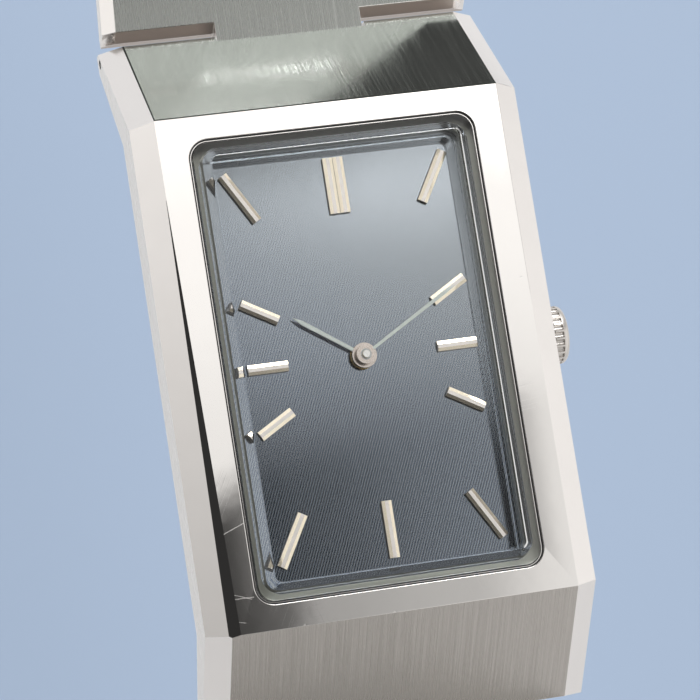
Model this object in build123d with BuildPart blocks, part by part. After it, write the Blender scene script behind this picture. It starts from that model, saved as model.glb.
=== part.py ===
from build123d import *
from math import atan2, cos, degrees, hypot, pi, radians, sin
import os

# Rectangular automatic wristwatch on an integrated bracelet, millimetres.
# +X to 3 o'clock, +Y to 12 o'clock, +Z out of the dial.
# The origin is the centre of the case back's outer face, and the watch lies on z = 0.

# Movement, a round calibre held in a ring
MOVEMENT_RADIUS = 9.9
RING_PLAY = 0.15
RING_BORE = MOVEMENT_RADIUS + RING_PLAY
RING_WALL = 1.55

# Case, seen from above
FRAME_HALF_X = 12.5
FRAME_HALF_Y = 18.25
BEVEL_WIDTH = 1.67
BEVEL_DROP = 1.2
BEVEL_CORNER_INSET = 0.28
CASE_HALF_X = FRAME_HALF_X + BEVEL_WIDTH
LUG_RUN = 7.4
LUG_DROP = 8.25
LUG_TIP_INSET = 0.1

# Case, heights
FRAME_TOP = 10.4
WALL_BOTTOM = 5.8
BACK_SEAT = 1.5
LUG_BOTTOM = 0.1
LUG_END_UNDERCUT = 0.15
LUG_FOOT_LENGTH = 1.3
LUG_ROOT_INSET = 0.65
LUG_END_Y = FRAME_HALF_Y + LUG_RUN
LUG_BOTTOM_END_Y = LUG_END_Y - LUG_END_UNDERCUT
LUG_BOTTOM_START_Y = LUG_BOTTOM_END_Y - LUG_FOOT_LENGTH
LUG_ROOT_Y = FRAME_HALF_Y - LUG_ROOT_INSET
TUB_WALL_X = 1.4
TUB_WALL_Y = 1.3
TUB_CORNER = 3.0
TUB_OVERLAP = 0.6

# Inside of the case
FRAME_BAR_X = 2.05
FRAME_BAR_Y = 1.75
REHAUT_LEDGE = 1.0
DIAL_SEAT_X = 2.15
DIAL_SEAT_Y = 1.1
OPENING_HALF_X = FRAME_HALF_X - FRAME_BAR_X
OPENING_HALF_Y = FRAME_HALF_Y - FRAME_BAR_Y
OPENING_CORNER = 1.4
REHAUT_HALF_X = OPENING_HALF_X - REHAUT_LEDGE
REHAUT_HALF_Y = OPENING_HALF_Y - REHAUT_LEDGE
REHAUT_CORNER = 1.0
CAVITY_HALF_X = max(RING_BORE + RING_WALL, REHAUT_HALF_X + DIAL_SEAT_X)
CAVITY_HALF_Y = max(RING_BORE + RING_WALL, REHAUT_HALF_Y + DIAL_SEAT_Y)
CAVITY_CORNER = 2.0
TUB_HALF_X = CAVITY_HALF_X + TUB_WALL_X
TUB_HALF_Y = CAVITY_HALF_Y + TUB_WALL_Y
DIAL_TOP = 8.5
CRYSTAL_SEAT = 9.3

# Crystal
CRYSTAL_GAP = 0.25
CRYSTAL_TOP = 11.3
CRYSTAL_BEVEL_WIDTH = 1.1
CRYSTAL_BEVEL_DROP = 0.75
CRYSTAL_CORNER = 1.15
CRYSTAL_TOP_CORNER = 0.55
CRYSTAL_UNDERSIDE = 10.05
CRYSTAL_SKIRT = 0.85
CRYSTAL_INNER_CORNER = 0.6
GASKET_PLAY = 0.02
GASKET_TOP = 10.25

# Dial and markers
DIAL_THICKNESS = 0.4
DIAL_PLAY = 0.3
DIAL_HALF_X = CAVITY_HALF_X - DIAL_PLAY
DIAL_HALF_Y = CAVITY_HALF_Y - DIAL_PLAY
DIAL_CORNER = 1.9
DIAL_HOLE_RADIUS = 0.9
DIAL_FOOT_RADIUS = 0.35
DIAL_FOOT_LENGTH = 1.0
DIAL_FOOT_PLACE = (6.0, -5.6)
MARKER_LONG = 4.04
MARKER_SHORT = 2.9
MARKER_WIDTH = 0.72
MARKER_WALL = 0.2
MARKER_HEIGHT = 0.38
MARKER_RIDGE = 0.26
MARKER_TWIN_GAP = 0.03
MARKER_GAP_TWELVE = 1.1
MARKER_GAP_ONE = 1.514
MARKER_GAP_ONE_SIDE = 1.375
MARKER_GAP_TWO = 1.283
MARKER_GAP_THREE = 1.09
MARKER_STEP_DEG = 30
HALF_TURN_DEG = 180

# Hands, the rest pose shows ten past ten
HOUR_HAND_LENGTH = 5.7
HOUR_HAND_WIDTH = 0.3
HOUR_HAND_Z = 8.96
HOUR_BOSS_RADIUS = 0.89
HOUR_BOSS_TOP = 9.26
MINUTE_HAND_LENGTH = 8.3
MINUTE_HAND_WIDTH = 0.26
MINUTE_HAND_Z = 9.42
MINUTE_BOSS_RADIUS = 0.67
MINUTE_BOSS_BOTTOM = 9.34
MINUTE_BOSS_TOP = 9.76
HAND_THICKNESS = 0.14
HAND_POINT_LENGTH = 0.75
HAND_ROOT_WIDTH_SHARE = 0.8
MINUTES_SHOWN = 10
HOURS_SHOWN = 10
MINUTE_DEG = MINUTES_SHOWN * 6
HOUR_DEG = HOURS_SHOWN * MARKER_STEP_DEG + MINUTE_DEG / 12

# Centre of the movement
CENTRE_ARBOR_RADIUS = 0.26
CENTRE_ARBOR_TOP = 9.95
CANNON_PIPE_RADIUS = 0.40
HOUR_PIPE_BORE = 0.45
HOUR_PIPE_RADIUS = 0.62

# Movement, heights from the dial to the case back
PLATE_TOP = DIAL_TOP - DIAL_THICKNESS
PLATE_BOTTOM = 6.0
MOTION_FLOOR = 7.35
BRIDGE_TOP = 3.65
BRIDGE_BOTTOM = 3.05
COCK_TOP = 3.35
COCK_BOTTOM = 2.95
AUTO_TOP = 2.6
AUTO_BOTTOM = 2.2
PIVOT_TOP = 6.6
ARBOR_RADIUS = 0.15
RUNNING_GAP = 0.03
CENTRE_RUNNING_GAP = 0.05

# Motion work under the dial
MOTION_DISTANCE = 2.4
CANNON_TEETH = 12
MINUTE_WHEEL_TEETH = 36
MINUTE_PINION_TEETH = 10
HOUR_WHEEL_TEETH = 40
CANNON_MODULE = 2 * MOTION_DISTANCE / (CANNON_TEETH + MINUTE_WHEEL_TEETH)
HOUR_MODULE = 2 * MOTION_DISTANCE / (MINUTE_PINION_TEETH + HOUR_WHEEL_TEETH)
CANNON_LEAVES_LOW = 7.42
CANNON_LEAVES_HIGH = 7.76
MINUTE_WHEEL_LOW = 7.48
MINUTE_WHEEL_HIGH = 7.66
MINUTE_PINION_HIGH = 8.02
HOUR_WHEEL_LOW = 7.83
HOUR_WHEEL_HIGH = 7.99
MINUTE_STUD_RADIUS = 0.2
MINUTE_STUD_TOP = 8.0
RECESS_CENTRE_RADIUS = 2.35
RECESS_SIDE_RADIUS = 2.15

# Going train: tooth counts, modules and where each arbor stands
BARREL_TEETH = 60
CENTRE_PINION_TEETH = 10
BARREL_MODULE = 0.12
CENTRE_WHEEL_TEETH = 48
THIRD_PINION_TEETH = 6
CENTRE_MODULE = 0.11
THIRD_WHEEL_TEETH = 45
FOURTH_PINION_TEETH = 6
THIRD_MODULE = 0.11
FOURTH_WHEEL_TEETH = 60
ESCAPE_PINION_TEETH = 6
FOURTH_MODULE = 0.08
BARREL_DIRECTION = 60
THIRD_DIRECTION = 150
FOURTH_DIRECTION = 230
ESCAPE_DIRECTION = 250
FORK_DIRECTION = -25
BALANCE_DIRECTION = -20
FORK_DISTANCE = 2.6
BALANCE_DISTANCE = 2.95

# Going train: heights and radii
CENTRE_WHEEL_LOW = 5.60
CENTRE_WHEEL_HIGH = 5.80
THIRD_PINION_LOW = 5.56
THIRD_PINION_HIGH = 5.85
THIRD_WHEEL_LOW = 3.82
THIRD_WHEEL_HIGH = 4.00
FOURTH_PINION_LOW = 3.77
FOURTH_PINION_HIGH = 4.05
FOURTH_WHEEL_LOW = 5.00
FOURTH_WHEEL_HIGH = 5.20
ESCAPE_PINION_LOW = 4.95
ESCAPE_PINION_HIGH = 5.25
ESCAPE_WHEEL_LOW = 4.50
ESCAPE_WHEEL_HIGH = 4.70
ESCAPE_TEETH = 15
ESCAPE_RADIUS = 1.9
ESCAPE_RIM_RADIUS = 1.4
ESCAPE_HOOK_SHARE = 0.1
BARREL_DRUM_RADIUS = 3.4
BARREL_WALL = 0.3
BARREL_TEETH_LOW = 5.15
BARREL_TEETH_HIGH = 5.45
BARREL_COVER_HIGH = 4.45
BARREL_BOTTOM = 4.15
BARREL_ARBOR_RADIUS = 0.5
BARREL_ARBOR_TOP = 6.8
BARREL_HUB_RADIUS = 0.9
CENTRE_PINION_LOW = 5.05
CENTRE_PINION_HIGH = 5.52
MAINSPRING_TURNS = 6
MAINSPRING_THICKNESS = 0.1
MAINSPRING_PLAY = 0.08
RATCHET_TEETH = 42
RATCHET_MODULE = 0.11
RATCHET_LOW = 2.72
RATCHET_HIGH = 2.93

# Escapement and balance
FORK_LOW = 4.45
FORK_HIGH = 4.72
FORK_ARM_LENGTH = 1.3
FORK_ARM_WIDTH = 0.24
FORK_ARM_SPREAD_DEG = 45
FORK_STONE_LENGTH = 0.12
FORK_SLOT_WIDTH = 0.26
FORK_HORN_SHARE = 0.8
FORK_STONE_TURN_SHARE = 0.2
FORK_HUB_RADIUS = 0.32
FORK_TOP = 6.4
FORK_BOTTOM = 4.22
PALLET_BRIDGE_LOW = 4.15
PALLET_BRIDGE_HIGH = 4.36
PALLET_FOOT_PLACE = (-3.9, -6.6)
PALLET_FOOT_RADIUS = 0.45
BALANCE_LOW = 3.62
BALANCE_HIGH = 3.95
BALANCE_RADIUS = 3.1
BALANCE_RIM_WIDTH = 0.38
BALANCE_ARM_WIDTH = 0.36
BALANCE_HUB_RADIUS = 0.4
STAFF_RADIUS = 0.12
STAFF_TOP = 6.5
STAFF_BOTTOM = 3.0
ROLLER_RADIUS = 0.45
ROLLER_LOW = 4.2
ROLLER_HIGH = 4.38
IMPULSE_PIN_RADIUS = 0.07
IMPULSE_PIN_PLACE = 0.33
IMPULSE_PIN_TOP = 4.66
HAIRSPRING_LOW = 3.42
HAIRSPRING_HIGH = 3.56
HAIRSPRING_INNER = 0.3
HAIRSPRING_OUTER = 1.9
HAIRSPRING_TURNS = 8
HAIRSPRING_THICKNESS = 0.06
STUD_DIRECTION = -90
STUD_RADIUS = 0.12
COCK_HALF_WIDTH = 0.8
COCK_END_PAST_STAFF = 0.8
COCK_FOOT_HALF_WIDTH = 1.6
COCK_FOOT_EDGE_GAP = 0.35
COCK_FOOT_LENGTH = 1.0
COCK_FOOT_OUTER_Y = COCK_FOOT_EDGE_GAP - MOVEMENT_RADIUS
COCK_FOOT_INNER_Y = COCK_FOOT_OUTER_Y + COCK_FOOT_LENGTH

# Bridges, posts and screws
BRIDGE_EDGE_GAP = 0.6
BRIDGE_RADIUS = MOVEMENT_RADIUS - BRIDGE_EDGE_GAP
BRIDGE_BALANCE_RELIEF = 3.5
PILLAR_RADIUS = 0.8
PILLAR_PLACES = [(7.4, -3.0), (-3.5, 7.0), (-8.3, 1.5), (7.6, 4.1)]
AUTO_POST_PLACES = [(-5.4, 3.2), (5.4, -3.2)]
AUTO_POST_RADIUS = 0.75
AUTO_BAR_WIDTH = 2.4
SCREW_RADIUS = 0.25
SCREW_HEAD_RADIUS = 0.45
SCREW_HEAD_HEIGHT = 0.2
SCREW_SLOT_WIDTH = 0.14
SCREW_SLOT_DEPTH = 0.1
BRIDGE_SCREW_TOP = 6.8
AUTO_SCREW_TOP = 3.6
COCK_SCREW_TOP = 4.6

# Rotor
ROTOR_BOTTOM = 1.75
ROTOR_WEB_TOP = 2.0
ROTOR_RIM_TOP = 2.6
ROTOR_EDGE_GAP = 0.25
ROTOR_RIM_WIDTH = 1.15
ROTOR_SLOT_MARGIN = 1.1
ROTOR_HUB_MARGIN = 1.5
ROTOR_RADIUS = MOVEMENT_RADIUS - ROTOR_EDGE_GAP
ROTOR_RIM_INNER = ROTOR_RADIUS - ROTOR_RIM_WIDTH
ROTOR_HUB_RADIUS = 1.7
ROTOR_SLOT_INNER = ROTOR_HUB_RADIUS + ROTOR_HUB_MARGIN
ROTOR_SLOT_OUTER = ROTOR_RIM_INNER - ROTOR_SLOT_MARGIN
ROTOR_SLOT_HALF_DEG = 28
ROTOR_SLOT_CENTRE_DEG = 45
AXLE_RADIUS = 0.8
AXLE_FLANGE_RADIUS = 1.2
AXLE_FLANGE_BOTTOM = 1.6
AXLE_FLANGE_TOP = 1.72

# Movement ring and its clamps
RING_BOTTOM = 2.4
RING_STEM_RADIUS = 0.75
CLAMP_THICKNESS = 0.3
CLAMP_HOLD = 0.24
CLAMP_LENGTH = 2.94
CLAMP_SCREW_INSET = 1.35
CLAMP_INNER_Y = MOVEMENT_RADIUS - CLAMP_HOLD
CLAMP_OUTER_Y = CLAMP_INNER_Y + CLAMP_LENGTH
CLAMP_HALF_WIDTH = 1.2
CLAMP_PLAY = 0.2
CLAMP_SCREW_Y = RING_BORE + CLAMP_SCREW_INSET
CLAMP_SCREW_RADIUS = 0.35
CLAMP_SCREW_HEAD_RADIUS = 0.7
CLAMP_SCREW_HEAD_HEIGHT = 0.3
CLAMP_SCREW_TOP = 7.2

# Case back
BACK_FILLET = 0.7
BACK_PAD_MARGIN_X = 2.4
BACK_PAD_MARGIN_Y = 2.5
BACK_PAD_HALF_X = TUB_HALF_X - BACK_PAD_MARGIN_X
BACK_PAD_HALF_Y = TUB_HALF_Y - BACK_PAD_MARGIN_Y
BACK_PAD_CORNER = 2.4
BACK_STEP = 0.35
LIP_PLAY = 0.55
LIP_HALF_X = CAVITY_HALF_X - LIP_PLAY
LIP_HALF_Y = CAVITY_HALF_Y - LIP_PLAY
LIP_TOP = 2.34
LIP_CORNER = 1.5
BACK_GASKET_TOP = 2.25
BACK_SCREW_INSET_X = 1.1
BACK_SCREW_INSET_Y = 1.0
BACK_SCREW_X = TUB_HALF_X - BACK_SCREW_INSET_X
BACK_SCREW_Y = TUB_HALF_Y - BACK_SCREW_INSET_Y
BACK_SCREW_RADIUS = 0.5
BACK_SCREW_TOP = 4.6
BACK_SCREW_HEAD_RADIUS = 0.85
BACK_SCREW_HEAD_LOW = 0.42
BACK_SCREW_HEAD_HIGH = 0.9

# Crown and stem, on an axis along X
STEM_Z = 6.9
STEM_RADIUS = 0.5
STEM_REACH = 4.3
STEM_INNER_X = MOVEMENT_RADIUS - STEM_REACH
STEM_END_ROOM = 0.6
STEM_HOLE_END_X = STEM_INNER_X - STEM_END_ROOM
STEM_GROOVE_RADIUS = 0.3
STEM_GROOVE_INSET = 1.9
STEM_GROOVE_X = MOVEMENT_RADIUS - STEM_GROOVE_INSET
LEVER_THICKNESS = 0.3
LEVER_PLAY = 0.02
LEVER_HALF_WIDTH = 0.6
LEVER_TOP = 7.25
LEVER_BOTTOM = 5.72
LEVER_POCKET_PLAY = 0.12
CROWN_PULL = 0.8
TUBE_RADIUS = 0.95
TUBE_BORE = 0.55
TUBE_SEAT = 0.3
TUBE_REACH = 0.45
TUBE_INNER_X = CAVITY_HALF_X + TUBE_SEAT
CROWN_RADIUS = 2.1
CROWN_GAP = 0.12
CROWN_LENGTH = 1.08
CROWN_FACE_THICKNESS = 0.5
CROWN_INNER_X = max(CASE_HALF_X, TUB_HALF_X) + CROWN_GAP
CROWN_OUTER_X = CROWN_INNER_X + CROWN_LENGTH
CROWN_BORE = 1.0
CROWN_BORE_END_X = CROWN_OUTER_X - CROWN_FACE_THICKNESS
TUBE_OUTER_X = CROWN_INNER_X + TUBE_REACH
CROWN_EDGE_FILLET = 0.42
CROWN_FLUTES = 24
CROWN_FLUTE_RADIUS = 0.2
CROWN_RIM_LENGTH = 0.45
CROWN_FLUTE_END_X = CROWN_OUTER_X - CROWN_RIM_LENGTH

# Bracelet
LINKS_PER_SIDE = 4
LINK_THICKNESS = 2.0
LINK_PITCH = 11.0
LINK_PIN_Z = 1.0
LUG_PIN_INSET = 0.9
LUG_PIN_Y = LUG_END_Y - LUG_PIN_INSET
TONGUE_HALF_WIDTH = 5.5
TONGUE_SIDE_GAP = 0.12
TONGUE_RADIUS = 1.0
TONGUE_END_GAP = 0.12
LUG_POCKET_TOP = 2.66
PLATE_START = 2.05
HEEL_LENGTH = 0.65
EAR_LENGTH = 0.9
LINK_SIDE_STEP = 0.37
LINK_FIRST_WIDTH = 2 * (CASE_HALF_X - LINK_SIDE_STEP)
LINK_NARROWING = 1.3
LINK_BEVEL_WIDTH = 0.95
LINK_BEVEL_DROP = 0.6
PIN_RADIUS = 0.35
PIN_BORE = 0.40
PIN_END_INSET = 0.9

# Clasp, on the 12 o'clock half, and the bar on the 6 o'clock half
CLASP_WIDTH = 21.0
CLASP_LENGTH = 24.0
CLASP_WALL = 0.8
CLASP_FLOOR = 0.7
CLASP_SIDE_HEIGHT = 2.6
CLASP_PIN_Z = 1.9
CLASP_COVER_THICKNESS = 0.7
CLASP_COVER_BOTTOM = 2.7
CLASP_HINGE_INSET = 1.2
CLASP_KNUCKLE_RADIUS = 0.7
CLASP_KNUCKLE_GAP = 0.15
CLASP_NOSE_LENGTH = 1.4
CLASP_LID_END_GAP = 0.9
BAR_LENGTH = 9.0
BAR_PLATE_THICKNESS = 0.9
BAR_ROD_RADIUS = 0.6
BAR_ARM_WIDTH = 1.6
BAR_HALF_WIDTH = 5.5

# Teeth, as shares of the module or of the tooth pitch
ADDENDUM_SHARE = 0.85
DEDENDUM_SHARE = 1.2
TOOTH_ROOT_SHARE = 0.56
TOOTH_TIP_SHARE = 0.22
SPIRAL_STEPS_PER_TURN = 20
CUT_PAST = 1.0


def polar(radius, angle_deg, start=(0, 0)):
    """A point at a distance and an angle from start."""
    a = radians(angle_deg)
    return (start[0] + radius * cos(a), start[1] + radius * sin(a))


def clock_turn(point, angle_deg):
    """A point turned clockwise about the dial's centre."""
    a = radians(-angle_deg)
    x, y = point
    return (x * cos(a) - y * sin(a), x * sin(a) + y * cos(a))


def face_polygon(points):
    """A closed polygon face in the sketch that is being built."""
    Polygon(*points, align=None)


def slab(half_x, half_y, corner, low, high, mode=Mode.ADD):
    """A rounded rectangle about the Z axis between two heights."""
    with BuildSketch(Plane.XY.offset(low)) as outline:
        RectangleRounded(2 * half_x, 2 * half_y, corner)
    extrude(outline.sketch, amount=high - low, mode=mode)


def disc(radius, low, high, at=(0, 0), mode=Mode.ADD):
    """A round disc or hole between two heights."""
    with BuildSketch(Plane.XY.offset(low)) as outline:
        with Locations(at):
            Circle(radius)
    extrude(outline.sketch, amount=high - low, mode=mode)


def block(x_range, y_range, z_range, mode=Mode.ADD):
    """A box given by its two ends on each axis."""
    with BuildSketch(Plane.XY.offset(z_range[0])) as outline:
        with Locations(((x_range[0] + x_range[1]) / 2, (y_range[0] + y_range[1]) / 2)):
            Rectangle(x_range[1] - x_range[0], y_range[1] - y_range[0])
    extrude(outline.sketch, amount=z_range[1] - z_range[0], mode=mode)


def rod_x(radius, x_low, x_high, y, z, mode=Mode.ADD):
    """A rod or hole along X."""
    with BuildSketch(Plane.YZ.offset(x_low)) as outline:
        with Locations((y, z)):
            Circle(radius)
    extrude(outline.sketch, amount=x_high - x_low, mode=mode)


def plate(points, low, high, mode=Mode.ADD):
    """A flat plate with a polygon outline."""
    with BuildSketch(Plane.XY.offset(low)) as outline:
        face_polygon(points)
    extrude(outline.sketch, amount=high - low, mode=mode)


def gear(teeth, module, low, high, at=(0, 0), tooth_at_deg=0.0):
    """A spur gear with a tooth centred on the given direction."""
    pitch_radius = teeth * module / 2
    pitch_deg = 360 / teeth
    root = pitch_radius - DEDENDUM_SHARE * module
    tip = pitch_radius + ADDENDUM_SHARE * module
    points = []
    for i in range(teeth):
        centre = tooth_at_deg + i * pitch_deg
        for radius, share in (
            (root, -TOOTH_ROOT_SHARE),
            (tip, -TOOTH_TIP_SHARE),
            (tip, TOOTH_TIP_SHARE),
            (root, TOOTH_ROOT_SHARE),
        ):
            points.append(polar(radius, centre + share * pitch_deg / 2, at))
    plate(points, low, high)


def spiral_band(inner, outer, turns, thickness, low, high, at, start_deg=0):
    """A flat wound band between two radii, whose ends lie in one direction."""
    steps = turns * SPIRAL_STEPS_PER_TURN
    inside = []
    outside = []
    for i in range(steps + 1):
        radius = inner + (outer - inner) * i / steps
        angle = start_deg + i * 360 / SPIRAL_STEPS_PER_TURN
        inside.append(polar(radius, angle, at))
        outside.append(polar(radius + thickness, angle, at))
    plate(inside + outside[::-1], low, high)


def bar_between(start, end, width, low, high):
    """A straight bar with round ends from one point to another."""
    length = hypot(end[0] - start[0], end[1] - start[1])
    angle = degrees(atan2(end[1] - start[1], end[0] - start[0]))
    middle = ((start[0] + end[0]) / 2, (start[1] + end[1]) / 2)
    with BuildSketch(Plane.XY.offset(low)) as outline:
        with Locations(Location((middle[0], middle[1], 0), (0, 0, angle))):
            SlotCenterToCenter(length, width)
    extrude(outline.sketch, amount=high - low)


def screw_down(at, shank, head, head_low, head_high, top):
    """A slotted screw whose head faces the case back."""
    disc(head, head_low, head_high, at)
    disc(shank, head_high, top, at)
    block(
        (at[0] - head, at[0] + head),
        (at[1] - SCREW_SLOT_WIDTH / 2, at[1] + SCREW_SLOT_WIDTH / 2),
        (head_low, head_low + SCREW_SLOT_DEPTH),
        mode=Mode.SUBTRACT,
    )


BARREL_DISTANCE = BARREL_MODULE * (BARREL_TEETH + CENTRE_PINION_TEETH) / 2
THIRD_DISTANCE = CENTRE_MODULE * (CENTRE_WHEEL_TEETH + THIRD_PINION_TEETH) / 2
FOURTH_DISTANCE = THIRD_MODULE * (THIRD_WHEEL_TEETH + FOURTH_PINION_TEETH) / 2
ESCAPE_DISTANCE = FOURTH_MODULE * (FOURTH_WHEEL_TEETH + ESCAPE_PINION_TEETH) / 2
BARREL_AT = polar(BARREL_DISTANCE, BARREL_DIRECTION)
THIRD_AT = polar(THIRD_DISTANCE, THIRD_DIRECTION)
FOURTH_AT = polar(FOURTH_DISTANCE, FOURTH_DIRECTION, THIRD_AT)
ESCAPE_AT = polar(ESCAPE_DISTANCE, ESCAPE_DIRECTION, FOURTH_AT)
FORK_AT = polar(FORK_DISTANCE, FORK_DIRECTION, ESCAPE_AT)
BALANCE_AT = polar(BALANCE_DISTANCE, BALANCE_DIRECTION, FORK_AT)
MINUTE_WHEEL_AT = (MOTION_DISTANCE, 0)
CRYSTAL_HALF_X = OPENING_HALF_X - CRYSTAL_GAP
CRYSTAL_HALF_Y = OPENING_HALF_Y - CRYSTAL_GAP
CENTRE_BORE = CENTRE_ARBOR_RADIUS + CENTRE_RUNNING_GAP
ARBOR_BORE = ARBOR_RADIUS + RUNNING_GAP
LUG_TIP_Z = FRAME_TOP - LUG_DROP


def case_side_profile(inset_y, drop):
    """The case seen from 3 o'clock: frame, lug slopes and wrist side."""
    corner_y = FRAME_HALF_Y - inset_y
    tip_y = LUG_END_Y - (LUG_TIP_INSET if drop else 0)
    slope = LUG_DROP / LUG_RUN
    tip_z = FRAME_TOP - drop - slope * (tip_y - corner_y)
    half = [
        (corner_y, FRAME_TOP - drop),
        (tip_y, tip_z),
        (LUG_BOTTOM_END_Y, LUG_BOTTOM),
        (LUG_BOTTOM_START_Y, LUG_BOTTOM),
        (LUG_ROOT_Y, WALL_BOTTOM),
    ]
    return half + [(-y, z) for y, z in reversed(half)]


def case_body():
    """Frame, side bevels, walls, lugs and the tub round the movement, one machined piece."""
    with BuildPart() as body:
        with BuildSketch(Plane.YZ.offset(-FRAME_HALF_X)):
            face_polygon(case_side_profile(0, 0))
        extrude(amount=2 * FRAME_HALF_X)
        for side in (-1, 1):
            with BuildSketch(Plane.YZ.offset(side * FRAME_HALF_X)):
                face_polygon(case_side_profile(0, 0))
            with BuildSketch(Plane.YZ.offset(side * CASE_HALF_X)):
                face_polygon(case_side_profile(BEVEL_CORNER_INSET, BEVEL_DROP))
            loft(ruled=True)
        slab(TUB_HALF_X, TUB_HALF_Y, TUB_CORNER, BACK_SEAT, WALL_BOTTOM + TUB_OVERLAP)
        slab(CAVITY_HALF_X, CAVITY_HALF_Y, CAVITY_CORNER, BACK_SEAT, DIAL_TOP, Mode.SUBTRACT)
        slab(REHAUT_HALF_X, REHAUT_HALF_Y, REHAUT_CORNER, DIAL_TOP, CRYSTAL_SEAT, Mode.SUBTRACT)
        slab(OPENING_HALF_X, OPENING_HALF_Y, OPENING_CORNER, CRYSTAL_SEAT, FRAME_TOP, Mode.SUBTRACT)
        for side in (-1, 1):
            ends = sorted(
                (
                    side * (LUG_PIN_Y - TONGUE_RADIUS - TONGUE_END_GAP),
                    side * (LUG_END_Y + CUT_PAST),
                )
            )
            half = TONGUE_HALF_WIDTH + TONGUE_SIDE_GAP
            block((-half, half), ends, (0, LUG_POCKET_TOP), Mode.SUBTRACT)
            rod_x(PIN_RADIUS, -CASE_HALF_X, CASE_HALF_X, side * LUG_PIN_Y, LINK_PIN_Z, Mode.SUBTRACT)
        rod_x(TUBE_RADIUS, CAVITY_HALF_X - CUT_PAST, CROWN_INNER_X, 0, STEM_Z, Mode.SUBTRACT)
        for x in (-BACK_SCREW_X, BACK_SCREW_X):
            for y in (-BACK_SCREW_Y, BACK_SCREW_Y):
                disc(BACK_SCREW_RADIUS, BACK_SEAT, BACK_SCREW_TOP, (x, y), Mode.SUBTRACT)
    return body


def crystal():
    """Thick bevelled crystal with a hollow underside over the hands."""
    with BuildPart() as glass:
        bevel_start = CRYSTAL_TOP - CRYSTAL_BEVEL_DROP
        slab(CRYSTAL_HALF_X, CRYSTAL_HALF_Y, CRYSTAL_CORNER, CRYSTAL_SEAT, bevel_start)
        with BuildSketch(Plane.XY.offset(bevel_start)):
            RectangleRounded(2 * CRYSTAL_HALF_X, 2 * CRYSTAL_HALF_Y, CRYSTAL_CORNER)
        with BuildSketch(Plane.XY.offset(CRYSTAL_TOP)):
            RectangleRounded(
                2 * (CRYSTAL_HALF_X - CRYSTAL_BEVEL_WIDTH),
                2 * (CRYSTAL_HALF_Y - CRYSTAL_BEVEL_WIDTH),
                CRYSTAL_TOP_CORNER,
            )
        loft(ruled=True)
        slab(
            CRYSTAL_HALF_X - CRYSTAL_SKIRT,
            CRYSTAL_HALF_Y - CRYSTAL_SKIRT,
            CRYSTAL_INNER_CORNER,
            CRYSTAL_SEAT,
            CRYSTAL_UNDERSIDE,
            Mode.SUBTRACT,
        )
    return glass


def crystal_gasket():
    """Dark sealing band between the crystal and the frame."""
    with BuildPart() as band:
        slab(
            OPENING_HALF_X - GASKET_PLAY,
            OPENING_HALF_Y - GASKET_PLAY,
            OPENING_CORNER - GASKET_PLAY,
            CRYSTAL_SEAT,
            GASKET_TOP,
        )
        slab(
            CRYSTAL_HALF_X + GASKET_PLAY,
            CRYSTAL_HALF_Y + GASKET_PLAY,
            CRYSTAL_CORNER + GASKET_PLAY,
            CRYSTAL_SEAT,
            GASKET_TOP,
            Mode.SUBTRACT,
        )
    return band


def dial_feet_places():
    """The two dial feet, opposite each other."""
    x, y = DIAL_FOOT_PLACE
    return [(x, y), (-x, -y)]


def dial():
    """Dial plate with its two feet."""
    with BuildPart() as plate_part:
        slab(DIAL_HALF_X, DIAL_HALF_Y, DIAL_CORNER, PLATE_TOP, DIAL_TOP)
        disc(DIAL_HOLE_RADIUS, PLATE_TOP, DIAL_TOP, mode=Mode.SUBTRACT)
        for place in dial_feet_places():
            disc(DIAL_FOOT_RADIUS, PLATE_TOP - DIAL_FOOT_LENGTH, PLATE_TOP, place)
    return plate_part


def marker_profile(width, centre):
    """Cross-section of a faceted baton: low walls under a ridge."""
    return [
        (centre - width / 2, 0),
        (centre + width / 2, 0),
        (centre + width / 2, MARKER_WALL),
        (centre + MARKER_RIDGE / 2, MARKER_HEIGHT),
        (centre - MARKER_RIDGE / 2, MARKER_HEIGHT),
        (centre - width / 2, MARKER_WALL),
    ]


def marker_reaches():
    """Outer end of each marker from the centre, counted in steps from 12 or 6."""
    slant = cos(radians(MARKER_STEP_DEG))
    spread = sin(radians(MARKER_STEP_DEG))
    to_end_wall = (REHAUT_HALF_Y - MARKER_GAP_ONE) / slant
    to_side_wall = (REHAUT_HALF_X - MARKER_GAP_ONE_SIDE) / spread
    return (
        REHAUT_HALF_Y - MARKER_GAP_TWELVE,
        min(to_end_wall, to_side_wall),
        (REHAUT_HALF_X - MARKER_GAP_TWO) / slant,
        REHAUT_HALF_X - MARKER_GAP_THREE,
    )


def hour_markers():
    """The applied batons, radial, with a double one at 12."""
    reaches = marker_reaches()
    with BuildPart() as markers:
        for hour in range(12):
            step = min(hour % 6, 6 - hour % 6)
            reach = reaches[step]
            length = MARKER_LONG if step < 2 else MARKER_SHORT
            outward = polar(1, 90 - hour * MARKER_STEP_DEG)
            start = (reach * outward[0], reach * outward[1], DIAL_TOP)
            across = (outward[1], -outward[0], 0)
            inward = (-outward[0], -outward[1], 0)
            frame = Plane(origin=start, x_dir=across, z_dir=inward)
            shift = (MARKER_WIDTH + MARKER_TWIN_GAP) / 2
            centres = (-shift, shift) if hour == 0 else (0,)
            for centre in centres:
                with BuildSketch(frame):
                    upright = 1 if frame.y_dir.Z > 0 else -1
                    face_polygon([(x, upright * y) for x, y in marker_profile(MARKER_WIDTH, centre)])
                extrude(amount=length)
    return markers


def hand_points(length, width, angle):
    """Outline of a slim baton hand with a pointed tip."""
    root = width * HAND_ROOT_WIDTH_SHARE / 2
    half = [(root, 0), (width / 2, length - HAND_POINT_LENGTH)]
    outline = half + [(0, length)] + [(-x, y) for x, y in reversed(half)]
    return [clock_turn(p, angle) for p in outline]


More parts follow.
